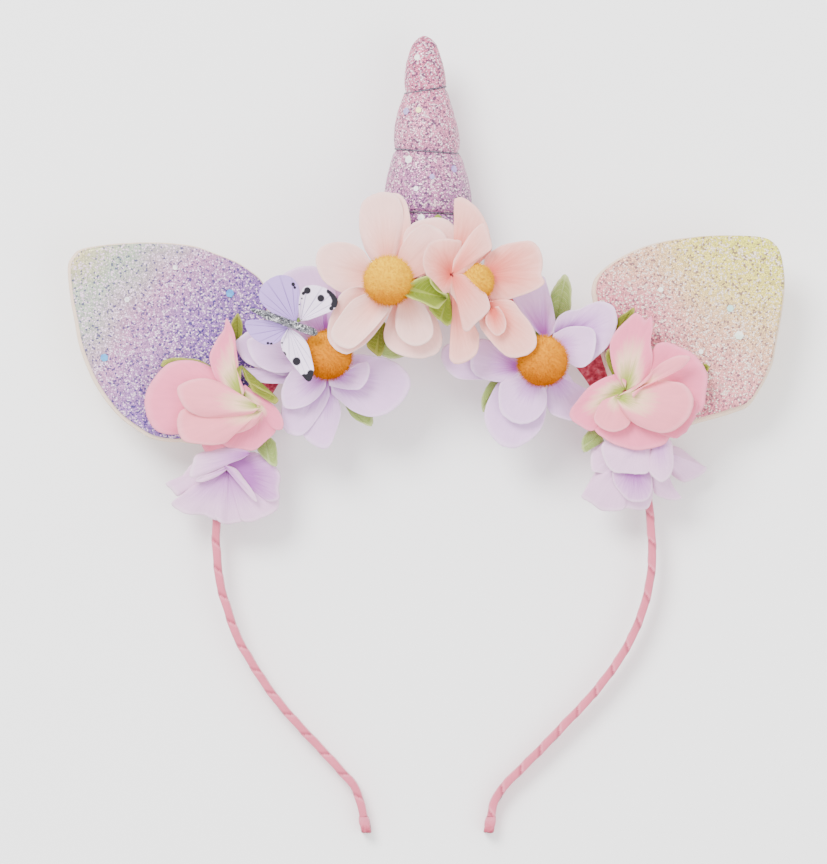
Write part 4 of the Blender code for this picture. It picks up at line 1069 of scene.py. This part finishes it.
for px, py, half, colour in EAR_SEQUINS:
    askew = Vector((spot.uniform(-0.12, 0.12), spot.uniform(-0.12, 0.12), 1))
    add_sequin(sheet(px, py, EAR_FACE), askew, half, colour)
for px, py, half, colour in HORN_SEQUINS:
    x, y = (px - SHEET_MIDDLE[0]) * SHEET_MM, (SHEET_MIDDLE[1] - py) * SHEET_MM
    r = horn_radius(y)
    turn = math.acos(max(-0.95, min(0.95, (x - horn_middle(y)) / r)))
    on_horn = mm(x, y, r * math.sin(turn) + 0.2)
    add_sequin(on_horn, Vector((math.cos(turn), 0.15, math.sin(turn))), half, colour)
sequins = finish_piece("big_sequins", bm, sequin_look, smooth=False)
print("sequins:", len(EAR_SEQUINS) + len(HORN_SEQUINS))

# %% [markdown]
# The band is a metal strip wrapped in ribbon. Each turn of ribbon overlaps the
# last by a thread or two, which leaves a slanting ridge every 7.6 mm. The grid
# is wrapped round the path, and the ridge comes from the turn each point is in.

# %% Ribbon on the band
LEFT_LEG = [(-58.7, -33.5), (-57.7, -42.0), (-55.5, -49.6), (-53.0, -56.6), (-49.1, -63.6), (-44.6, -70.6),
    (-40.0, -76.6), (-34.3, -83.0), (-29.1, -88.5), (-23.9, -94.2), (-20.3, -98.4), (-18.6, -102.8),
    (-17.6, -107.0)]
RIGHT_LEG = [(63.1, -36.0), (61.7, -45.1), (58.9, -53.6), (55.0, -61.2), (50.5, -67.8), (45.0, -74.5),
    (38.9, -80.9), (32.8, -87.3), (27.4, -92.7), (21.6, -98.6), (19.0, -102.8), (18.0, -107.0)]
WRAP_PITCH = 7.6
HALF_SIDE, HALF_DEPTH = 1.12, 2.36
ARCH_FOOT = -26.2
ARCH_STEPS, FINE_STEPS = 22, 24
arch_ends = math.asin((ARCH_FOOT - ARCH_CENTRE[1]) / ARCH_HALF_HIGH)
arch_points = []
for k in range(ARCH_STEPS + 1):
    t = math.pi - arch_ends - (math.pi - 2 * arch_ends) * k / ARCH_STEPS
    x = ARCH_CENTRE[0] + ARCH_HALF_WIDE * math.cos(t)
    arch_points.append((x, ARCH_CENTRE[1] + ARCH_HALF_HIGH * math.sin(t)))
route = [Vector(p) for p in LEFT_LEG[::-1] + arch_points + RIGHT_LEG]
ends = [2 * route[0] - route[1]] + route + [2 * route[-1] - route[-2]]
fine = []
for a, b, c, d in zip(ends, ends[1:], ends[2:], ends[3:]):
    for k in range(FINE_STEPS):
        fine.append(smooth_between(a, b, c, d, k / FINE_STEPS))
fine.append(route[-1])
runs = [0.0]
for p, q in zip(fine, fine[1:]):
    runs.append(runs[-1] + (q - p).length)
print(f"band length {runs[-1]:.0f} mm")


def band_point(run):
    low, high = 0, len(runs) - 1
    while high - low > 1:
        half = (low + high) // 2
        low, high = (half, high) if runs[half] <= run else (low, half)
    share = (run - runs[low]) / (runs[high] - runs[low])
    here = fine[low].lerp(fine[high], share)
    ahead = fine[min(high + 3, len(fine) - 1)] - fine[max(low - 3, 0)]
    return here, ahead.normalized()


def rounded_bar(turn, half_side, half_depth):
    """A point of a rounded bar's section at a turn of 0 to 1."""
    angle = 2 * math.pi * turn
    c, s = math.cos(angle), math.sin(angle)
    stretch = (abs(c) ** 5 + abs(s) ** 5) ** (-1 / 5)
    return half_side * c * stretch, half_depth * s * stretch


BAND_ALONG, BAND_AROUND = 1100, 28
bm = bmesh.new()
bmesh.ops.create_grid(bm, x_segments=BAND_ALONG, y_segments=BAND_AROUND, size=1.0)
wrap_layer = bm.verts.layers.float.new("wrap")
run_layer = bm.verts.layers.float.new("run")
for vert in bm.verts:
    u, turn = 0.5 * (vert.co.x + 1), 0.5 * (vert.co.y + 1)
    run = u * runs[-1]
    here, ahead = band_point(run)
    out = Vector((-ahead.y, ahead.x))
    side, depth = rounded_bar(turn, HALF_SIDE, HALF_DEPTH)
    wrap = (run / WRAP_PITCH + (turn if turn < 1 - 1e-6 else 0.0)) % 1.0
    vert[wrap_layer], vert[run_layer] = wrap, run
    lift = 1.0 + 0.16 * wrap**3 + 0.03 * noise.noise(Vector((run * 0.3, turn * 6, 1.0)))
    place = here + out * (side * lift)
    vert.co = mm(place.x, place.y, depth * (1 + 0.06 * wrap**3))
bmesh.ops.remove_doubles(bm, verts=bm.verts, dist=1e-6)
bmesh.ops.holes_fill(bm, edges=[e for e in bm.edges if e.is_boundary], sides=0)
bmesh.ops.recalc_face_normals(bm, faces=bm.faces)
ribbon_look, tree, shader = material("pink wrapping ribbon", roughness=0.5, sheen=0.3, specular=0.35)
wrap = node(tree, "ShaderNodeAttribute", attribute_name="wrap").outputs["Fac"]
run = node(tree, "ShaderNodeAttribute", attribute_name="run").outputs["Fac"]
ribs = math_node(tree, "SINE", math_node(tree, "MULTIPLY", wrap, 95.0))
# The ribbon's own pink, with painted shade in the step beside each overlapping edge and painted light on the
# raised edge itself.
overlap_shade_and_light = ramp(tree, wrap, [(0.0, rgb(112, 34, 56)), (0.06, rgb(170, 66, 92)), (0.2, rgb(204, 96, 120)),
    (0.85, rgb(208, 102, 126)), (1.0, rgb(224, 136, 154))])
cloth = group_node(tree, weave, Color=overlap_shade_and_light, Vector=object_coordinates(tree), Threads=14000.0, Uneven=0.25)
ribbed = node(tree, "ShaderNodeVectorMath", operation="SCALE")
tree.links.new(cloth.outputs["Color"], ribbed.inputs[0])
tree.links.new(math_node(tree, "ADD", math_node(tree, "MULTIPLY", ribs, 0.05), 0.97), ribbed.inputs["Scale"])
tree.links.new(ribbed.outputs[0], shader.inputs["Base Color"])
bumped(tree, shader, ribs, 0.25, 0.00012)
band_piece = finish_piece("band_ribbon", bm, ribbon_look)
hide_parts("band")


# %% [markdown]
# At each end the ribbon is folded over and glued. The fold is a little wider
# than the band and its cut edge is ragged and darker.

# %% Folded ribbon ends
end_look, tree, shader = material("folded ribbon end", roughness=0.6, sheen=0.3)
coordinates = object_coordinates(tree)
place = node(tree, "ShaderNodeSeparateXYZ")
tree.links.new(coordinates, place.inputs[0])
rise = node(tree, "ShaderNodeMapRange", **{"From Min": -0.1118, "From Max": -0.1075})
tree.links.new(place.outputs[1], rise.inputs["Value"])
frayed = node(tree, "ShaderNodeTexNoise", Scale=1500.0, Detail=3.0)
tree.links.new(coordinates, frayed.inputs["Vector"])
fringe = math_node(tree, "MULTIPLY", math_node(tree, "SUBTRACT", frayed.outputs["Fac"], 0.5), 0.8)
down = math_node(tree, "ADD", rise.outputs[0], fringe)
tint = ramp(tree, down, [(0.0, rgb(110, 24, 44)), (0.25, rgb(176, 66, 90)), (0.6, rgb(206, 100, 124)),
    (1.0, rgb(214, 116, 138))])
cloth = group_node(tree, weave, Color=tint, Vector=coordinates, Threads=14000.0, Uneven=0.3)
tree.links.new(cloth.outputs["Color"], shader.inputs["Base Color"])
bumped(tree, shader, cloth.outputs["Height"], 0.4, 0.0002)
FOLD_TOP, FOLD_BOTTOM = -107.0, -111.5
FOLD_HALF_DEPTH = 2.5
FOLDED_ENDS = [
    dict(name="ribbon_end_left", middle=-17.5, half=1.45, slant=0.7, node_name="band_tip_left"),
    dict(name="ribbon_end_right", middle=17.95, half=1.5, slant=-0.6, node_name="band_tip_right"),
]
for end in FOLDED_ENDS:
    middle, slant = end["middle"], end["slant"]
    bm = bmesh.new()
    bmesh.ops.create_grid(bm, x_segments=34, y_segments=40, size=1.0)
    for vert in bm.verts:
        u, turn = 0.5 * (vert.co.x + 1), 0.5 * (vert.co.y + 1)
        side, depth = rounded_bar(turn, end["half"], FOLD_HALF_DEPTH)
        flare = 0.9 + 0.14 * math.sin(math.pi * min(1, u * 1.6)) + 0.1 * u
        if u > 0.93:
            flare *= 1 - 0.5 * ((u - 0.93) / 0.07) ** 2
        ragged = 0.35 * noise.noise(Vector((side * 1.3, depth * 1.1, middle))) * u**4
        y = FOLD_TOP + (FOLD_BOTTOM - FOLD_TOP) * u + ragged
        crumple = 1 + 0.06 * noise.noise(Vector((u * 4, turn * 7, middle)))
        x = middle + slant * u - 0.2 * (1 - u) * slant + side * flare * crumple
        vert.co = mm(x, y, depth * (0.97 + 0.03 * u) * min(1, flare * 1.1))
    bmesh.ops.remove_doubles(bm, verts=bm.verts, dist=1e-6)
    bmesh.ops.holes_fill(bm, edges=[e for e in bm.edges if e.is_boundary], sides=0)
    bmesh.ops.recalc_face_normals(bm, faces=bm.faces)
    piece = finish_piece(end["name"], bm, end_look)
    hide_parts(end["node_name"])

# %% [markdown]
# The backing strip's solid already has its true shape, so it stays and only
# gets a finish: a loose crimson cloth with a coarse weave.

# %% Backing strip
strip_look, tree, shader = material("crimson backing cloth", roughness=0.9, sheen=0.3, specular=0.2)
coordinates = object_coordinates(tree)
mottle = node(tree, "ShaderNodeTexNoise", Scale=900.0, Detail=4.0)
tree.links.new(coordinates, mottle.inputs["Vector"])
base = ramp(tree, mottle.outputs["Fac"], [(0.3, rgb(150, 40, 58)), (0.5, rgb(192, 72, 90)),
    (0.7, rgb(218, 122, 134))])
cloth = group_node(tree, weave, Color=base, Vector=coordinates, Threads=7000.0, Uneven=0.3)
tree.links.new(cloth.outputs["Color"], shader.inputs["Base Color"])
bumped(tree, shader, mottle.outputs["Fac"], 0.7, 0.0004)
for part in bpy.data.objects:
    if part.name.startswith("backing_strip") and part.type == "MESH":
        part.data.materials.clear()
        part.data.materials.append(strip_look)
        print("finish on", part.name)

# %% [markdown]
# Leaves fill the gaps between the flowers. They are cut from green cloth with
# a frayed edge, and pale ribs run down the middle and out to the sides. They
# are petals to the script: the same fan from a root to a cut edge makes them.

# %% Leaves
def leaf_look(name, dark, light, fringe):
    look, tree, shader = material(name, roughness=0.7, sheen=0.1, specular=0.3)
    along = node(tree, "ShaderNodeAttribute", attribute_name="along").outputs["Fac"]
    across = node(tree, "ShaderNodeAttribute", attribute_name="across").outputs["Fac"]
    side = math_node(tree, "ABSOLUTE", across)
    ribs_along = math_node(tree, "MULTIPLY", along, 9.0)
    slant = math_node(tree, "SUBTRACT", ribs_along, math_node(tree, "MULTIPLY", side, 2.6))
    rib = math_node(tree, "ABSOLUTE", math_node(tree, "SINE", math_node(tree, "MULTIPLY", slant, math.pi)))
    rib_line = math_node(tree, "LESS_THAN", rib, 0.16)
    middle_line = math_node(tree, "LESS_THAN", side, 0.05)
    lines = math_node(tree, "MAXIMUM", rib_line, middle_line)
    patch = node(tree, "ShaderNodeTexNoise", Scale=330.0, Detail=3.0)
    coordinates = object_coordinates(tree)
    tree.links.new(coordinates, patch.inputs["Vector"])
    ground = mix_colour(tree, patch.outputs["Fac"], dark, light)
    ground = mix_colour(tree, math_node(tree, "MULTIPLY", lines, 0.35), ground, fringe)
    rim = node(tree, "ShaderNodeMapRange", **{"From Min": 0.86, "From Max": 1.0})
    tree.links.new(math_node(tree, "MAXIMUM", side, along), rim.inputs["Value"])
    ground = mix_colour(tree, math_node(tree, "MULTIPLY", rim.outputs[0], 0.7), ground, fringe)
    cloth = group_node(tree, weave, Color=ground, Vector=coordinates, Threads=10000.0, Uneven=0.35)
    tree.links.new(cloth.outputs["Color"], shader.inputs["Base Color"])
    bumped(tree, shader, math_node(tree, "SUBTRACT", cloth.outputs["Height"], lines), 0.5, 0.00018)
    return look


BRIGHT_LEAF = leaf_look("bright leaf cloth", rgb(102, 120, 12), rgb(140, 154, 30), rgb(194, 200, 104))
PALE_LEAF = leaf_look("pale leaf cloth", rgb(118, 140, 62), rgb(152, 168, 92), rgb(196, 206, 148))
OLIVE_LEAF = leaf_look("olive leaf cloth", rgb(84, 96, 10), rgb(126, 132, 30), rgb(176, 174, 84))
LEAF = dict(fray=1.4, crease=0.5, ruffle=0.15)
LEAF_SEED = 900
LEAVES = [
    ("leaf_between_daisies_tip", dict(root=(447, 300),
        cut=[(447, 297), (437, 293), (431, 286), (428, 279), (418, 281), (409, 286), (401, 293),
        (406, 298), (413, 301), (421, 304), (430, 308), (438, 311)], z=(26.4, 31.6), cup=0.5), BRIGHT_LEAF),
    ("leaf_between_daisies_root", dict(root=(448, 294),
        cut=[(437, 303), (429, 309), (433, 316), (440, 322), (448, 327), (452, 318), (450, 304)],
        z=(25.4, 23.0), cup=0.5), BRIGHT_LEAF),
    ("leaf_under_blush_left", dict(root=(382, 320),
        cut=[(376, 333), (369, 342), (367, 346), (372, 352), (380, 357), (384, 350), (388, 337),
        (387, 326)], z=(16.4, 14.2), cup=0.4), OLIVE_LEAF),
    ("leaf_under_blush_pale", dict(root=(380, 336),
        cut=[(378, 346), (381, 354), (387, 358), (396, 359), (407, 356), (399, 351), (390, 344),
        (384, 337)], z=(15.0, 13.0), cup=0.4), PALE_LEAF),
    ("leaf_under_lilac", dict(root=(346, 406), cut=[(348, 409), (353, 417), (362, 423), (372, 426),
        (373, 417), (367, 410)], z=(7.6, 7.2), cup=0.4), PALE_LEAF),
    ("leaf_left_upper", dict(root=(238, 350), cut=[(233, 335), (232, 325), (235, 318), (239, 314),
        (243, 323), (243, 333), (240, 342)], z=(9.0, 9.6), cup=0.4), OLIVE_LEAF),
    ("leaf_behind_rose_left", dict(root=(218, 388),
        cut=[(176, 364), (167, 366), (162, 366), (165, 361), (176, 358), (189, 359), (204, 362),
        (215, 371), (222, 384)], z=(12.2, 8.6), cup=0.2), OLIVE_LEAF),
    ("leaf_left_heart", dict(root=(243, 366), cut=[(242, 380), (238, 369), (246, 370), (247, 380),
        (255, 386), (268, 393), (279, 399), (276, 404), (264, 398), (253, 391)], z=(14.4, 14.4), cup=0.2),
        OLIVE_LEAF),
    ("leaf_left_lower", dict(root=(264, 430), cut=[(264, 440), (258, 448), (264, 458), (276, 467),
        (278, 456), (276, 442)], z=(9.0, 7.6), cup=0.4), PALE_LEAF),
    ("leaf_right_upper", dict(root=(554, 329), cut=[(552, 311), (550, 295), (555, 285), (561, 277),
        (565, 275), (570, 283), (571, 294), (570, 309), (565, 315)], z=(7.8, 8.4), cup=0.4), PALE_LEAF),
    ("leaf_right_lower_lilac", dict(root=(499, 379),
        cut=[(490, 382), (484, 391), (481, 401), (482, 411), (485, 412), (490, 405), (497, 389)],
        z=(8.2, 7.8), cup=0.4), PALE_LEAF),
    ("leaf_right_rose", dict(root=(614, 335), cut=[(616, 325), (618, 318), (625, 313), (633, 308),
        (632, 318), (627, 325), (619, 331)], z=(10.6, 10.4), cup=0.3), OLIVE_LEAF),
    ("leaf_right_rose_low", dict(root=(616, 381),
        cut=[(611, 374), (606, 363), (605, 353), (609, 349), (614, 359), (617, 372)], z=(12.2, 11.4),
        cup=0.3), OLIVE_LEAF),
    ("leaf_right_lower", dict(root=(601, 433), cut=[(591, 428), (584, 435), (581, 442), (583, 452),
        (592, 448), (603, 441)], z=(9.6, 8.4), cup=0.4), PALE_LEAF),
    ("leaf_right_ear", dict(root=(692, 374), cut=[(696, 366), (704, 364), (708, 367), (706, 372),
        (698, 378)], z=(8.6, 9.0), cup=0.2), OLIVE_LEAF),
]
for name, look in (("bright_leaves", BRIGHT_LEAF), ("pale_leaves", PALE_LEAF), ("olive_leaves", OLIVE_LEAF)):
    bm = bmesh.new()
    for number, (leaf, row, leaf_cloth) in enumerate(LEAVES):
        if leaf_cloth == look:
            add_petal(bm, dict(LEAF, **row), LEAF_SEED + number, along_steps=24, across_steps=16)
            print(name, "holds", leaf)
    piece = finish_piece(name, bm, look)
    thin_cloth(piece, 0.3)

# %% [markdown]
# The butterfly is printed cloth on a glitter bar. Veins fan out over the pale
# wings, and a few black marks sit near their rims. The marks are painted as an
# attribute, from their distance to points read on the drawing.

# %% Butterfly
WING_MARKS = [
    ((308.6, 292.2), 7.0), ((304.6, 295), 3.6), ((322, 299.8), 7.2), ((330.4, 293.0), 5.6),
    ((333.6, 295.6), 7.4), ((336, 298.8), 8.4), ((336.8, 302.4), 8.0), ((335.4, 306.0), 7.0),
    ((332.4, 310), 4.4), ((294.7, 286), 4.0), ((296.3, 289.3), 3.0), ((303, 300), 2.0),
    ((301, 306), 1.8), ((297.9, 362.3), 8.2), ((284.7, 355.6), 6.0), ((281.8, 350.3), 4.0),
    ((283.5, 344), 2.0), ((269.6, 344.3), 3.0), ((273, 344.8), 2.8), ((309.4, 379), 9.4),
    ((312.2, 374.4), 7.6), ((305.6, 377.8), 6.4), ((309, 383), 7.0),
]
wing_look, tree, shader = material("printed wing cloth", roughness=0.75, sheen=0.15, specular=0.25)
along = node(tree, "ShaderNodeAttribute", attribute_name="along").outputs["Fac"]
across = node(tree, "ShaderNodeAttribute", attribute_name="across").outputs["Fac"]
ink = node(tree, "ShaderNodeAttribute", attribute_name="ink").outputs["Fac"]
violet = node(tree, "ShaderNodeAttribute", attribute_name="shade").outputs["Fac"]
fan = math_node(tree, "ABSOLUTE", math_node(tree, "SINE", math_node(tree, "MULTIPLY", across, 13.0)))
vein_fade = math_node(tree, "SUBTRACT", 1.15, along)
vein = math_node(tree, "MULTIPLY", math_node(tree, "LESS_THAN", fan, 0.22), vein_fade)
ground = mix_colour(tree, violet, rgb(242, 226, 246), rgb(164, 124, 208))
ground = mix_colour(tree, math_node(tree, "MULTIPLY", vein, 0.95), ground, rgb(84, 48, 130))
marks = node(tree, "ShaderNodeMapRange", **{"From Min": 0.45, "From Max": 0.55})
tree.links.new(ink, marks.inputs["Value"])
ground = mix_colour(tree, marks.outputs[0], ground, rgb(24, 20, 30))
cloth = group_node(tree, weave, Color=ground, Vector=object_coordinates(tree), Threads=16000.0, Uneven=0.08)
tree.links.new(cloth.outputs["Color"], shader.inputs["Base Color"])
bumped(tree, shader, math_node(tree, "SUBTRACT", cloth.outputs["Height"], vein), 0.3, 0.00012)
WINGS = [
    dict(root=(297, 324), cut=[(302, 306), (301, 294), (299, 286), (294, 280), (286, 277), (277, 278),
        (268, 283), (263, 289), (261, 296), (263, 304), (271, 312), (282, 320), (291, 323)],
        z=(23.0, 24.6), shade=0.85),
    dict(root=(302, 322), cut=[(300.6, 314), (300.6, 304), (302, 295), (306, 288.5), (315, 287),
        (324, 289), (331, 292.5), (336, 297), (338.7, 302), (337.5, 308), (332, 312.5), (326, 315),
        (317, 318.5), (309, 321.5)], z=(23.2, 24.8), shade=0.1),
    dict(root=(291, 329), cut=[(286, 324), (273, 322), (258, 321), (249, 322), (247, 327), (252, 336),
        (259, 342), (268, 346), (278, 344), (284, 339), (287, 334)], z=(23.0, 23.8), shade=0.85),
    dict(root=(290, 329), cut=[(287, 335), (283, 342), (284, 351), (290, 360), (297, 369), (303, 376),
        (309, 382), (313, 380), (315, 371), (313, 360), (309, 346), (302, 337), (294, 332)],
        z=(23.2, 25.0), shade=0.1),
]
WING = dict(ruffle=0.1, crease=0.1, fray=0.3, cup=0.3)
WING_SEED = 700
bm = bmesh.new()
ink_layer = bm.verts.layers.float.new("ink")
for number, row in enumerate(WINGS):
    for vert in add_petal(bm, dict(WING, **row), WING_SEED + number, along_steps=70, across_steps=50):
        spot = LIES.inverted() @ vert.co
        px, py = spot.x / GRID + SHEET_MIDDLE[0], SHEET_MIDDLE[1] - spot.y / GRID
        value = 0.0
        for (mx, my), size in WING_MARKS:
            value = max(value, 1.0 - 0.5 * math.hypot(px - mx, py - my) / (0.5 * size))
        vert[ink_layer] = max(0.0, value)
wings = finish_piece("butterfly_wings_cloth", bm, wing_look)
thin_cloth(wings, 0.25)
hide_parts("butterfly_wings")

# %% [markdown]
# The bar is a grid wrapped into a tube along a slanting line on the drawing.
# Its side is the direction square to that line.

# %% Butterfly's glitter bar
BAR_START, BAR_RUN, BAR_SIDE = Vector((252.3, 310.6)), Vector((66.6, 24.4)), Vector((-0.344, 0.939))
BAR_RADIUS, BAR_HEIGHT = 1.15, 25.6
bm = bmesh.new()
bmesh.ops.create_grid(bm, x_segments=60, y_segments=16, size=1.0)
for vert in bm.verts:
    u, turn = 0.5 * (vert.co.x + 1), math.pi * vert.co.y
    blunt = 1 if u < 0.9 else math.sqrt(max(0.02, 1 - ((u - 0.9) / 0.1) ** 2 * 0.8))
    r = BAR_RADIUS * min(1.0, 0.3 + 3.2 * u) * blunt
    r *= 1 + 0.12 * noise.noise(Vector((u * 30, math.cos(turn) * 2, math.sin(turn) * 2)))
    r *= 0.35 if u < 1e-6 or u > 1 - 1e-6 else 1
    middle = BAR_START + BAR_RUN * u + BAR_SIDE * (r / SHEET_MM * math.cos(turn))
    vert.co = sheet(middle.x, middle.y, BAR_HEIGHT + 0.3 * u + r * math.sin(turn))
bmesh.ops.remove_doubles(bm, verts=bm.verts, dist=1e-6)
bmesh.ops.holes_fill(bm, edges=[e for e in bm.edges if e.is_boundary], sides=0)
bmesh.ops.recalc_face_normals(bm, faces=bm.faces)
silver_look, tree, shader = material("silver glitter bar", roughness=0.35, metallic=0.5)
coordinates = object_coordinates(tree)
# Dark flakes and gaps are painted shade on the silver; bright flakes are painted glints.
height = glitter_finish(
    tree, shader, coordinates, Color=rgb(150, 150, 156), Dark=rgb(48, 48, 56), Bright=rgb(250, 250, 252),
    Flakes_per_metre=2200.0, Dark_share=0.4, Bright_share=0.22)
bumped(tree, shader, height, 0.8, 0.0003)
bar = finish_piece("butterfly_glitter_bar", bm, silver_look)
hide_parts("butterfly_body")

# %% [markdown]
# Behind the petals each flower is held by a short stem of taped wire, which
# runs from the strip to the flower's heart. They only show from the side.

# %% Stems
stem_look, tree, shader = material("green stem tape", roughness=0.8)
cloth = group_node(tree, weave, Color=rgb(120, 150, 70), Vector=object_coordinates(tree), Threads=8000.0,
    Uneven=0.4)
tree.links.new(cloth.outputs["Color"], shader.inputs["Base Color"])
bumped(tree, shader, cloth.outputs["Height"], 0.4, 0.0002)
FLOWER_STEM, WING_WIRE = (1.5, 1.1), (0.7, 0.6)
STEMS = [
    dict(heart=(328, 357, 9.6), foot=(318, 312, 4.2), radii=FLOWER_STEM),
    dict(heart=(541, 361, 9.6), foot=(539, 319, 4.2), radii=FLOWER_STEM),
    dict(heart=(243, 398, 13.4), foot=(252, 390, 7.0), radii=FLOWER_STEM),
    dict(heart=(632, 388, 13.4), foot=(624, 384, 7.0), radii=FLOWER_STEM),
    dict(heart=(230, 468, 8.3), foot=(223, 457, 4.2), radii=FLOWER_STEM),
    dict(heart=(642, 456, 8.3), foot=(643, 446, 4.2), radii=FLOWER_STEM),
    dict(heart=(391, 283, 20.4), foot=(391, 288, 4.2), radii=FLOWER_STEM),
    dict(heart=(465, 285, 24.2), foot=(464, 289, 4.2), radii=FLOWER_STEM),
    dict(heart=(298, 322, 23.0), foot=(305, 318, 11.5), radii=WING_WIRE),
]
for number, stem in enumerate(STEMS):
    bm = bmesh.new()
    wide, narrow = stem["radii"]
    bmesh.ops.create_cone(bm, cap_ends=True, segments=14, radius1=wide, radius2=narrow, depth=2.0)
    sides = [e for e in bm.edges if abs(e.verts[0].co.z - e.verts[1].co.z) > 1]
    bmesh.ops.subdivide_edges(bm, edges=sides, cuts=12)
    low, high = sheet(*stem["foot"]), sheet(*stem["heart"])
    turn_to = (high - low).to_track_quat("Z", "Y").to_matrix()
    for vert in bm.verts:
        share = 0.5 * (vert.co.z + 1)
        swell = 1 + 0.08 * math.sin(share * 40)
        vert.co = low.lerp(high, share) + turn_to @ Vector((vert.co.x * swell, vert.co.y * swell, 0)) * MM
    finish_piece(f"flower_stem_{number + 1}", bm, stem_look)

# %% [markdown]
# Last comes a count of the pieces made.

# %% Finish
print("pieces made:", len(made))
